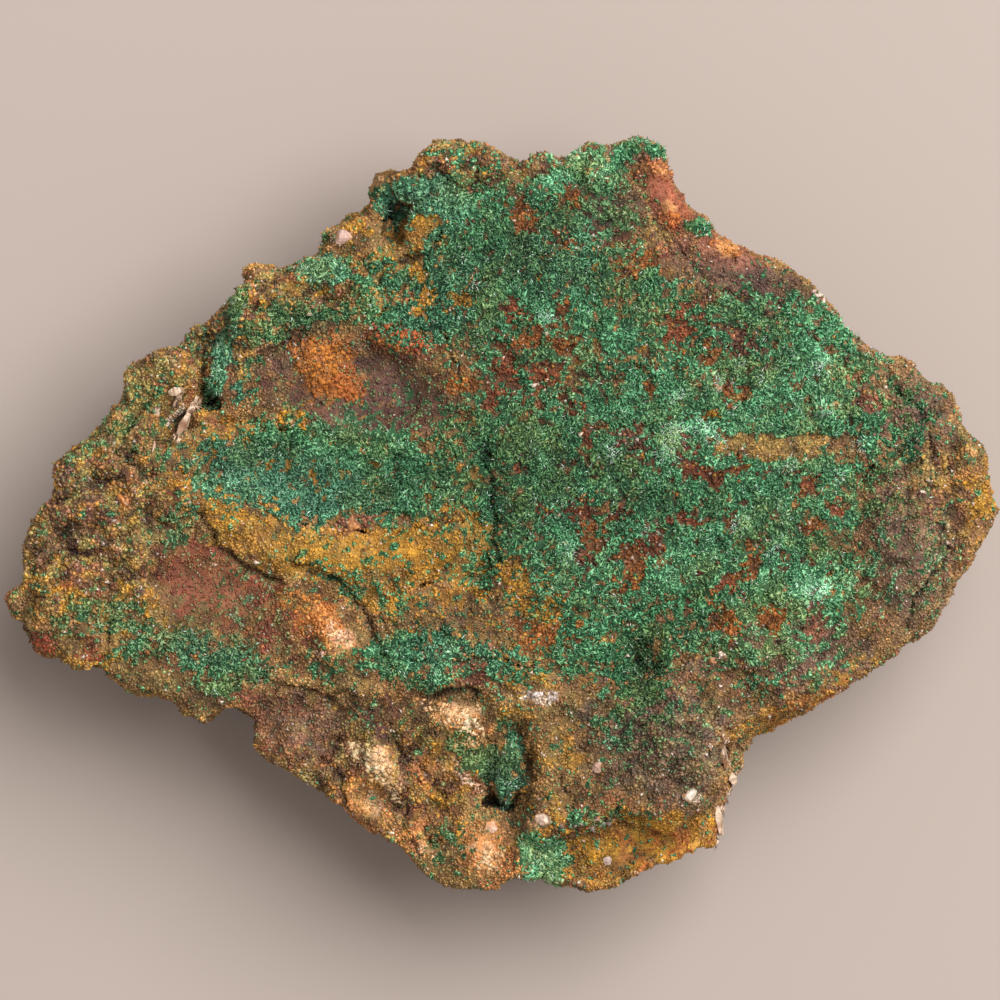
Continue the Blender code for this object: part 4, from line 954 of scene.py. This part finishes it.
def drawn_in(places):
    """Brings what stands outside the photographed outline back to it."""
    flat = places[:, :2] + FACE_SHIFT
    nearest = np.full(len(flat), np.inf)
    foot = np.zeros_like(flat)
    inside = np.zeros(len(flat), bool)
    for start, end in zip(OUTLINE, OUTLINE[1:] + OUTLINE[:1]):
        start, along = np.array(start), np.array(end) - np.array(start)
        share = np.clip((flat - start) @ along / (along @ along), 0, 1)
        point = start + share[:, None] * along
        away = np.linalg.norm(flat - point, axis=1)
        closer = away < nearest
        nearest[closer], foot[closer] = away[closer], point[closer]
        if along[1]:
            spans = (start[1] > flat[:, 1]) != (end[1] > flat[:, 1])
            crossing = start[0] + (flat[:, 1] - start[1]) / along[1] * along[0]
            inside ^= spans & (flat[:, 0] < crossing)
    outside = np.where(inside, -nearest, nearest)
    held = -EDGE_INSET - EDGE_EASE * np.logaddexp(0, (-EDGE_INSET - outside) / EDGE_EASE)
    outward = (flat - foot) / np.maximum(nearest, 1e-6)[:, None] * np.where(inside, -1, 1)[:, None]
    shift = np.where(outside > -EDGE_BAND, held - outside, 0.0)
    places[:, :2] += outward * shift[:, None]
    return places


def roughen(mesh):
    """Raises lumps, broken grain and ridges, and cuts the cracks. The underside that the
    specimen rests on stays flat."""
    places = vertex_values(mesh, "co") / MM
    normals = vertex_values(mesh, "normal")
    flat = wandering(places)
    up = facing_up(normals)
    lumpy = np.maximum(patches(flat, LUMPY_PATCHES) * up, 0.25 * (1 - up))
    even = np.maximum(patches(flat, SMOOTH_PATCHES), along_path(flat, FISSURE, 2.6)) * up
    even = np.maximum(even, patches(flat, BLADE_PATCHES) * up)
    large = botryoids(places, LUMPS[0][0], 5)
    # Where the seams between the large lumps lie, for the painted shade in them
    store_values(mesh, "seam_shade", lumpy * (1 - even) * smooth(1 - 2.6 * large))
    out = (0.2 + 0.8 * lumpy) * LUMPS[0][1] * (large - 0.55)
    out += (0.35 + 0.65 * lumpy) * LUMPS[1][1] * (botryoids(places, LUMPS[1][0], 15) - 0.5)
    out += BROKEN[1] * torn(places, BROKEN[0], 25)
    for seed, (size, height) in enumerate(FRACTURED):
        out += (1 - up) * height * (0.3 - np.abs(grain(places, size, 35 + seed)))
    out *= 1 - 0.7 * even
    out += CLOT_HEIGHT * is_green(places, normals, 0.0) * (1 - even)
    for half_width, depth, _, path in CRACKS:
        out -= depth * along_path(flat, path, half_width) * up
    resting = smooth((places[:, 2] - FLAT_BELOW) / FREE_OVER)
    places = places + normals * (out * resting)[:, None]
    places[:, 2] = np.maximum(places[:, 2], 0.0)
    place_points(mesh, places)


def shade_of_hollows(mesh):
    """How dark each point is painted for lying lower, or bright for standing higher, than what is round
    it: painted shade in hollows, seams and cracks, and a painted highlight on ridges."""
    places = vertex_values(mesh, "co") / MM
    normals = vertex_values(mesh, "normal")
    count = len(places)
    ends = np.empty(len(mesh.edges) * 2, np.int32)
    mesh.edges.foreach_get("vertices", ends)
    start, end = ends[0::2], ends[1::2]
    linked = np.bincount(ends, minlength=count)
    level = places.copy()
    for _ in range(HOLLOW_REACH):
        for axis in range(3):
            around = np.bincount(start, level[end, axis], count)
            around += np.bincount(end, level[start, axis], count)
            level[:, axis] = 0.5 * (level[:, axis] + around / linked)
    height = np.sum((places - level) * normals, axis=1)
    shade = np.clip(1 + HOLLOW_SHADE * height, DARKEST, BRIGHTEST)
    seams = np.empty(count)
    mesh.attributes["seam_shade"].data.foreach_get("value", seams)
    # Painted shade in the seams between lumps
    shade *= 1 - SEAM_SHADE * seams
    flat = wandering(places)
    # Painted light: the painted shade is lifted in the lit hollows and along the fissure
    lit = np.maximum(patches(flat, LIT_HOLLOWS), 0.9 * along_path(flat, FISSURE, 2.4))
    shade = np.maximum(shade, 0.95 * lit * facing_up(normals))
    broken = smooth(0.7 + 1.3 * grain(places, 1.1, 29))
    # Painted shade along the cracks, holes and the feet of steps
    for half_width, _, dark, path in CRACKS:
        line = along_path(flat, path, 0.75 * half_width) * facing_up(normals)
        shade *= 1 - dark * line * np.maximum(broken, smooth(4 * dark - 3))
    return shade


def stain_and_shade(mesh):
    """Stores the colours of ground and crust at each point, with painted shade, and how much is green."""
    places = vertex_values(mesh, "co") / MM
    normals = vertex_values(mesh, "normal")
    still = np.zeros(len(places))
    flat = wandering(places)
    shade = shade_of_hollows(mesh)
    store_values(mesh, "shade", shade)
    green = is_green(places, normals, still)
    even = patches(flat, SMOOTH_PATCHES) * (1 - green) * facing_up(normals)
    # Painted shade between crumbs, on the face where they stand and not on smooth bare ground
    between = facing_up(normals) * (1 - even)
    gap_shade = BETWEEN_EARTHY * (1 + 0.3 * broken_ground(flat)) * between
    earthy = ground_colour(places, normals, still) * (shade * (1 - gap_shade))[:, None]
    silky = green_colour(places, still + 0.4) * (shade * (1 - BETWEEN_GREEN * between))[:, None]
    store_colours(mesh, "ground", np.clip(earthy, 0, 1))
    store_colours(mesh, "green", silky)
    store_values(mesh, "cover", green)
    store_values(mesh, "rough", 0.85 - 0.2 * even)
    mesh.shade_smooth()


# Rock whose normal points up by more than OVERHANGING may lie under the crust, which stands less
# than CRUST_REACH above it
OVERHANGING = -0.2
CRUST_REACH = 3


class Ground:
    """The faces of both skins that can carry crumbs: their middles, normals, areas and painted shades."""

    def __init__(self, rock, crust):
        parts = []
        over = BVHTree.FromPolygons([v.co for v in crust.vertices], [p.vertices for p in crust.polygons])
        for mesh in (rock, crust):
            count = len(mesh.polygons)
            centres, normals, areas = np.empty(count * 3), np.empty(count * 3), np.empty(count)
            mesh.polygons.foreach_get("center", centres)
            mesh.polygons.foreach_get("normal", normals)
            mesh.polygons.foreach_get("area", areas)
            centres, normals = centres.reshape(-1, 3), normals.reshape(-1, 3)
            shown = centres[:, 2] > LOWEST_CRUMB * MM
            if mesh is rock:
                for i in np.flatnonzero(shown & (normals[:, 2] > OVERHANGING)):
                    above = Vector(centres[i]) + Vector((0, 0, CRUST_REACH * MM))
                    shown[i] = over.ray_cast(above, Vector((0, 0, -1)), CRUST_REACH * MM)[0] is None
            shades, firsts = np.empty(len(mesh.vertices)), np.empty(count, np.int32)
            mesh.attributes["shade"].data.foreach_get("value", shades)
            mesh.polygons.foreach_get("loop_start", firsts)
            corners = np.empty(len(mesh.loops), np.int32)
            mesh.loops.foreach_get("vertex_index", corners)
            shades = 0.5 * (shades[corners[firsts]] + shades[corners[firsts + 2]])
            parts.append((centres[shown] / MM, normals[shown], areas[shown] / MM ** 2, shades[shown]))
        self.centres, self.normals, self.areas, self.shades = (
            np.concatenate(values) for values in zip(*parts))
        self.green = is_green(self.centres, self.normals, np.zeros(len(self.areas)))
        self.cover = green_cover(self.centres, self.normals)

    def scatter(self, rng, count, density):
        """Random places on the ground, thicker where density is high."""
        chances = self.areas * density
        chosen = rng.choice(len(self.areas), size=count, p=chances / chances.sum())
        normals = self.normals[chosen]
        spread = rng.uniform(-0.5, 0.5, (count, 3)) * ROCK_VOXEL
        spread -= normals * np.sum(spread * normals, axis=1, keepdims=True)
        return self.centres[chosen] + spread, normals, self.shades[chosen]

    def at(self, x, y):
        """The place and normal of the top of the ground at a point of the face."""
        flat = self.centres[:, :2] + FACE_SHIFT
        away = np.hypot(flat[:, 0] - x, flat[:, 1] - y) - 0.02 * self.centres[:, 2]
        nearest = np.argmin(away)
        place, normal = self.centres[nearest].copy(), self.normals[nearest]
        step = np.array([x, y]) - flat[nearest]
        if normal[2] > 0.4 and np.hypot(*step) < ROCK_VOXEL:
            place[:2] += step
            place[2] -= step @ normal[:2] / normal[2]
        return place, normal


def leaning(rng, normals, amount):
    """Directions that lean at random away from the normals."""
    lean = normals + amount * rng.normal(size=normals.shape)
    return lean / np.linalg.norm(lean, axis=1, keepdims=True)


# A crystal has three points round its foot and then its tip, and four faces
TIP = 3
CRYSTAL_POINTS = TIP + 1
CRYSTAL_FACES = np.array([(0, 1, TIP), (1, 2, TIP), (2, 0, TIP), (2, 1, 0)])


def crystals(rng, name, places, axes, lengths, widths, colours):
    """One mesh of many three-sided crystals. Each stands with its foot at its place and points
    along its axis."""
    count = len(places)
    across = np.cross(axes, rng.normal(size=axes.shape))
    across /= np.linalg.norm(across, axis=1, keepdims=True)
    third = np.cross(axes, across)
    points = np.empty((count, CRYSTAL_POINTS, 3))
    for corner in range(TIP):
        turn = 2 * math.pi * corner / TIP
        reach = 0.5 * widths * rng.uniform(0.7, 1.3, count)
        points[:, corner] = places + (across * math.cos(turn) + third * math.sin(turn)) * reach[:, None]
    points[:, TIP] = places + axes * lengths[:, None]
    corners = (np.arange(count)[:, None, None] * CRYSTAL_POINTS + CRYSTAL_FACES).reshape(-1)
    mesh = bpy.data.meshes.new(name)
    mesh.vertices.add(count * CRYSTAL_POINTS)
    mesh.vertices.foreach_set("co", (points * MM).astype(np.float32).ravel())
    mesh.loops.add(len(corners))
    mesh.loops.foreach_set("vertex_index", corners.astype(np.int32))
    mesh.polygons.add(len(corners) // 3)
    mesh.polygons.foreach_set("loop_start", np.arange(0, len(corners), 3, dtype=np.int32))
    mesh.update(calc_edges=True)
    tones = np.repeat(colours[:, None, :], CRYSTAL_POINTS, axis=1)
    # Painted highlight: each tip is brighter than its foot
    tones[:, TIP] = np.clip(tones[:, TIP] * TIP_HIGHLIGHT, 0, 1)
    store_colours(mesh, "tone", tones.reshape(-1, 3))
    return mesh


def grow_crumbs(rng, ground):
    """The crumbs that the whole surface is made of: silky green ones where malachite stands, and
    earthy ones of the ground between. Each mineral is two pieces, left and right."""
    density = 0.08 + 0.92 * facing_up(ground.normals) + 0.16 * smooth(1 + 2 * ground.normals[:, 2])
    places, normals, shades = ground.scatter(rng, CRUMBS, density)
    stray = STRAY * rng.normal(size=CRUMBS)
    green = is_green(places, normals, stray) > 0.5
    flat = wandering(places)
    worn = ~green & (rng.random(CRUMBS) < 0.8 * patches(flat, SMOOTH_PATCHES))
    dense = smooth(2.2 * green_cover(places, normals) - 0.7) * (1 - patches(flat, FINE_PATCHES))
    flaky = green & (rng.random(CRUMBS) < dense)
    places, axes, lengths, widths = crumb_forms(rng, flat, places, normals, green, flaky)
    colours = crumb_colours(rng, flat, places, normals, stray, green)
    # Each crumb takes the painted shade and highlight of the ground under it
    colours = np.clip(colours * shades[:, None], 0, 1)
    for mineral, chosen, material, slot in (
            ("malachite_crumbs", green, malachite_crystal(), "malachite"),
            ("limonite_crumbs", ~green & ~worn, limonite_crumb(), "iron_stained_rock")):
        left = places[:, 0] < np.median(places[chosen, 0])
        for side, half in (("left", chosen & left), ("right", chosen & ~left)):
            name = mineral + "_" + side
            mesh = crystals(rng, name, places[half], axes[half], lengths[half], widths[half], colours[half])
            show(name, mesh, material, slot)


def crumb_forms(rng, flat, places, normals, green, flaky):
    """The foot, direction, length and width of each crumb. Flakes are longer and lie flatter."""
    size = 0.75 + 0.75 * rng.random(CRUMBS) ** 3
    size = size * np.where(green, 1, 0.85 + 0.5 * broken_ground(flat) * rng.random(CRUMBS))
    lengths = size * rng.uniform(*CRUMB_LENGTHS, CRUMBS)
    lengths *= np.where(flaky, 1.75, np.where(green, 1.05, 1.0))
    widths = size * rng.uniform(*CRUMB_WIDTHS, CRUMBS)
    widths *= np.where(flaky, 0.8, np.where(green, 0.95, 1.15))
    flakes = leaning(rng, normals * 0.4, 1.0)
    flakes -= 0.75 * normals * np.minimum(np.sum(flakes * normals, axis=1, keepdims=True), 1)
    flakes += normals * rng.uniform(0.05, 0.5, (CRUMBS, 1))
    flakes /= np.linalg.norm(flakes, axis=1, keepdims=True)
    axes = np.where(flaky[:, None], flakes, leaning(rng, normals, CRUMB_LEAN))
    feet = places + np.where(flaky, 0.12, 0.03)[:, None] * normals - 0.4 * axes * lengths[:, None]
    return feet, axes, lengths, widths


def crumb_colours(rng, flat, places, normals, stray, green):
    """The colour of each crumb: mineral by mineral, with stray ones on broken ground."""
    even = patches(flat, SMOOTH_PATCHES)
    broken = broken_ground(flat)[:, None]
    earthy = ground_colour(places, normals, stray)
    flecked = rng.random((CRUMBS, 1)) < FLECKED * broken * (1 - patches(flat, GREY_PATCHES)[:, None])
    fleck = FLECKS[rng.integers(len(FLECKS), size=CRUMBS)]
    earthy = np.where(flecked, 0.4 * earthy + 0.6 * fleck, earthy)
    earthy = earthy * (1 - 0.15 * even[:, None])
    earthy = earthy * (1 + (0.16 + 0.1 * broken) * rng.uniform(-1, 1, (CRUMBS, 1)))
    # Painted glints: a few crumbs are made pale
    earthy[rng.random(CRUMBS) < PAINTED_GLINTS] = PINK_WHITE * 0.7
    chance = 0.5 + (rng.random(CRUMBS) - 0.5) * (1 - 0.4 * even)
    dulled = 0.32 * patches(flat, FINE_PATCHES) + 0.15 * patches(flat, MUTED_PATCHES)
    return np.where(green[:, None], blend(green_colour(places, chance), earthy, dulled), earthy)


def grow_needles(rng, ground):
    """Sprays of thin needles all over the green, and the few whitest ones."""
    centres, normals, _ = ground.scatter(rng, SPRAYS, ground.green * ground.cover ** 2)
    bases = np.repeat(centres, NEEDLES_EACH, axis=0)
    axes = leaning(rng, np.repeat(normals, NEEDLES_EACH, axis=0), NEEDLE_LEAN)
    lengths = rng.uniform(*NEEDLE_LENGTHS, len(bases))
    widths = rng.uniform(*NEEDLE_WIDTHS, len(bases))
    colours = green_colour(bases, 0.3 + 0.7 * rng.random(len(bases)))
    colours[rng.random(len(bases)) < ICY] = ICE_GREEN
    for x, y, radius, count in WHITE_SPRAYS:
        feet, uprights = zip(*(ground.at(x + dx, y + dy) for dx, dy in
                               0.42 * radius * rng.normal(size=(count, 2))))
        feet, uprights = np.array(feet), np.array(uprights)
        outward = (feet - feet.mean(axis=0)) / radius + 0.5 * uprights
        bases = np.concatenate([bases, feet])
        axes = np.concatenate([axes, leaning(rng, outward, WHITE_LEAN)])
        lengths = np.append(lengths, rng.uniform(*WHITE_LENGTHS, count))
        widths = np.append(widths, rng.uniform(*WHITE_WIDTHS, count))
        colours = np.concatenate([colours, ICE_GREEN * rng.uniform(0.3, 0.85, (count, 1))])
    mesh = crystals(rng, "malachite_needles", bases, axes, lengths, widths, colours)
    show("malachite_needles", mesh, malachite_crystal(), "malachite")


def chipped(rng, directions):
    """How far out the surface of a broken chip with a few flat faces lies in each direction."""
    faces = leaning(rng, np.zeros((CHIP_FACES, 3)), 1.0)
    depths = rng.uniform(0.6, 0.95, CHIP_FACES)
    return np.min(depths / np.maximum(directions @ faces.T, 0.25), axis=1)


def embed_pebbles(rng, ground):
    """Pebbles and chips of calcite and glassy limonite, half sunk in the rock."""
    whole = bmesh.new()
    colours = []
    for x, y, half_length, half_width, turn, height, colour in PEBBLES:
        place, normal = ground.at(x, y)
        upright = Vector(normal).to_track_quat("Z", "X").to_matrix().to_4x4()
        shape = Matrix.Translation(Vector(place)) @ upright @ Matrix.Rotation(math.radians(turn), 4, "Z")
        shape = shape @ Matrix.Diagonal((half_length, half_width, height, 1))
        made = bmesh.ops.create_icosphere(whole, subdivisions=CHIP_CUTS + 1, radius=1.0)["verts"]
        directions = np.array([vert.co for vert in made])
        reach = np.minimum(chipped(rng, directions), 1.15)
        for vert, far in zip(made, reach):
            vert.co = shape @ (vert.co * float(far))
        colours.append(blend(linear(colour), BROWN * 0.5, smooth(1.1 - 2.2 * directions[:, 2] * reach)))
    mesh = bpy.data.meshes.new("embedded_pebbles")
    whole.to_mesh(mesh)
    whole.free()
    places = vertex_values(mesh, "co")
    worn = 0.07 * grain(places, 0.7, 61) + 0.06 * grain(places, 0.3, 62)
    places += vertex_values(mesh, "normal") * worn[:, None]
    place_points(mesh, places)
    shade = 1 + 0.22 * grain(places, 0.6, 63) + 0.18 * grain(places, 0.25, 64)
    stained = 0.7 * smooth(2.4 * grain(places, 0.8, 65) - 0.4)
    colours = blend(np.concatenate(colours), TAWNY, stained)
    store_colours(mesh, "tone", np.clip(colours * shade[:, None], 0, 1))
    show("embedded_pebbles", mesh, calcite_cleaved(), "calcite")


def heap_masses(rng, ground, name, table, material, slot):
    """Angular crumbs of one mineral, heaped together in ragged masses."""
    places, axes, colours = [], [], []
    for x, y, half_length, half_width, turn, count, pale, dark in table:
        angle, away = rng.uniform(0, 2 * math.pi, count), np.sqrt(rng.random(count))
        away *= 1 + 0.25 * np.sin(3 * angle + x) + 0.15 * np.sin(7 * angle + y)
        along, across = half_length * away * np.cos(angle), half_width * away * np.sin(angle)
        turn = math.radians(turn)
        for dx, dy in zip(along * math.cos(turn) - across * math.sin(turn),
                          along * math.sin(turn) + across * math.cos(turn)):
            place, normal = ground.at(x + dx, y + dy)
            places.append(place)
            axes.append(normal)
        share = smooth(0.15 + 0.5 * away + 0.6 * (rng.random(count) - 0.4))
        colours.append(blend(linear(pale), linear(dark), share))
    count = len(places)
    axes = leaning(rng, np.array(axes), MASS_LEAN)
    size = 0.65 + 1.3 * rng.random(count) ** 3
    lengths = size * rng.uniform(*MASS_LENGTHS, count)
    places = np.array(places) - 0.3 * axes * lengths[:, None]
    widths = size * rng.uniform(*MASS_WIDTHS, count)
    mesh = crystals(rng, name, places, axes, lengths, widths, np.concatenate(colours))
    show(name, mesh, material, slot)


def lay_fibres(rng, ground):
    """Thin splinters of calcite lying along the lines where it cleaved."""
    bases, axes = [], []
    for start, end, half_width, count in FIBRES:
        start, end = np.array(start), np.array(end)
        along = (end - start) / np.linalg.norm(end - start)
        for share, side in zip(rng.random(count), half_width * rng.uniform(-1, 1, count)):
            point = start + share * (end - start) + side * np.array([-along[1], along[0]])
            place, normal = ground.at(*point)
            lying = np.array([*along, 0]) - normal * np.dot(normal[:2], along)
            bases.append(place + 0.22 * normal - 0.5 * lying)
            axes.append(lying + 0.08 * normal)
    bases, axes = np.array(bases), leaning(rng, np.array(axes), FIBRE_LEAN)
    count = len(bases)
    colours = blend(CALCITE, CALCITE_STAINED, rng.random(count) ** 1.5)
    lengths = rng.uniform(*FIBRE_LENGTHS, count)
    widths = rng.uniform(*FIBRE_WIDTHS, count)
    mesh = crystals(rng, "calcite_fibres", bases, axes, lengths, widths, colours)
    show("calcite_fibres", mesh, calcite_cleaved(), "calcite")


def cleave_blades():
    """Each calcite blade, with ridges along it and broken ends."""
    material = calcite_cleaved()
    for name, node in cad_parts.items():
        if not name.startswith("calcite_blade"):
            continue
        work = bmesh.new()
        work.from_mesh(node.data)
        bmesh.ops.remove_doubles(work, verts=work.verts, dist=WELD * MM)
        bmesh.ops.triangulate(work, faces=work.faces)
        for _ in range(BLADE_CUTS):
            bmesh.ops.subdivide_edges(work, edges=work.edges, cuts=1, use_grid_fill=True)
            bmesh.ops.triangulate(work, faces=work.faces)
        work.normal_update()
        mesh = bpy.data.meshes.new(name + "_cleaved")
        work.to_mesh(mesh)
        work.free()
        places = vertex_values(mesh, "co") / MM
        normals = vertex_values(mesh, "normal")
        middle = places.mean(axis=0)
        spread = np.linalg.svd(places - middle, full_matrices=False)[2]
        along, across = (places - middle) @ spread[0], (places - middle) @ spread[1]
        ridges = grain(np.column_stack([along * 0.15, across, across * 0]), 0.22, 7)
        steps = grain(places, 0.7, 8)
        inset = 0.14 * ridges + 0.08 * steps - 0.12
        place_points(mesh, places + normals * inset[:, None])
        stained = smooth(0.35 - 0.9 * ridges + 0.5 * steps)
        store_colours(mesh, "tone", blend(CALCITE, CALCITE_STAINED, stained))
        show(name + "_cleaved", mesh, material, "calcite", name)


def build_specimen():
    """All the pieces, in the order in which they draw their random numbers."""
    rng = np.random.default_rng(RANDOM_START)
    rock = even_skin(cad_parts["matrix"], ROCK_VOXEL, 0.0)
    crust = even_skin(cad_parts["malachite_crust"], CRUST_VOXEL, CRUST_SWELL)
    for mesh in (rock, crust):
        roughen(mesh)
        stain_and_shade(mesh)
    show("rock_skin", rock, gossan_rock(), "iron_stained_rock", "matrix")
    show("malachite_skin", crust, malachite_crust(), "malachite", "malachite_crust")
    ground = Ground(rock, crust)
    grow_crumbs(rng, ground)
    grow_needles(rng, ground)
    embed_pebbles(rng, ground)
    heap_masses(rng, ground, "calcite_masses", CALCITE_MASSES, calcite_cleaved(), "calcite")
    heap_masses(rng, ground, "limonite_masses", LIMONITE_MASSES, limonite_crumb(), "iron_stained_rock")
    lay_fibres(rng, ground)
    cleave_blades()


# The lamp and what it is aimed at, in metres, how strong the light all round is, and the paper
LAMP_PLACE = Vector((0.48, 0.37, 0.86))
LAMP_AIM = Vector((0, 0, 0.02))
LAMP_SIZE = 0.9
LAMP_WATTS = 19.0
LAMP_COLOUR = (1.0, 0.99, 0.97)
AIR_STRENGTH = 0.55
FLOOR_SIZE = 6.0


def light_studio():
    """A soft lamp from the upper right, which draws the relief, and pale air all round."""
    data = bpy.data.lights.new("key_lamp", "AREA")
    data.shape = "SQUARE"
    data.size = LAMP_SIZE
    data.energy = LAMP_WATTS
    data.color = LAMP_COLOUR
    lamp = bpy.data.objects.new("key_lamp", data)
    lamp.location = LAMP_PLACE
    lamp.rotation_euler = (LAMP_AIM - LAMP_PLACE).to_track_quat("-Z", "Y").to_euler()
    bpy.context.scene.collection.objects.link(lamp)
    world = bpy.data.worlds.new("studio_air")
    world.use_nodes = True
    background = world.node_tree.nodes["Background"]
    background.inputs["Color"].default_value = (*linear("#F4EFEA"), 1)
    background.inputs["Strength"].default_value = AIR_STRENGTH
    bpy.context.scene.world = world


def lay_floor():
    """A sheet of paper that the specimen lies on."""
    bpy.ops.mesh.primitive_plane_add(size=FLOOR_SIZE, location=(0, 0, 0))
    floor = bpy.context.object
    floor.name = "floor"
    floor.data.materials.append(studio_paper())


def set_camera():
    """Straight above the face. The specimen is as large as in the photograph, and in its place."""
    data = bpy.data.cameras.new("camera")
    camera = bpy.data.objects.new("camera", data)
    bpy.context.scene.collection.objects.link(camera)
    across = (cad_high.x - cad_low.x) * PICTURE_PX / SPECIMEN_PX
    data.sensor_width = SENSOR_MM
    data.lens = SENSOR_MM * (CAMERA_HEIGHT - OUTLINE_LEVEL * cad_high.z) / across
    pixel = across / PICTURE_PX
    camera.location = (-RIGHT_OF_MIDDLE_PX * pixel, BELOW_MIDDLE_PX * pixel, CAMERA_HEIGHT)
    bpy.context.scene.camera = camera
    bpy.context.scene.view_settings.view_transform = "Standard"


set_camera()
light_studio()
lay_floor()
build_specimen()
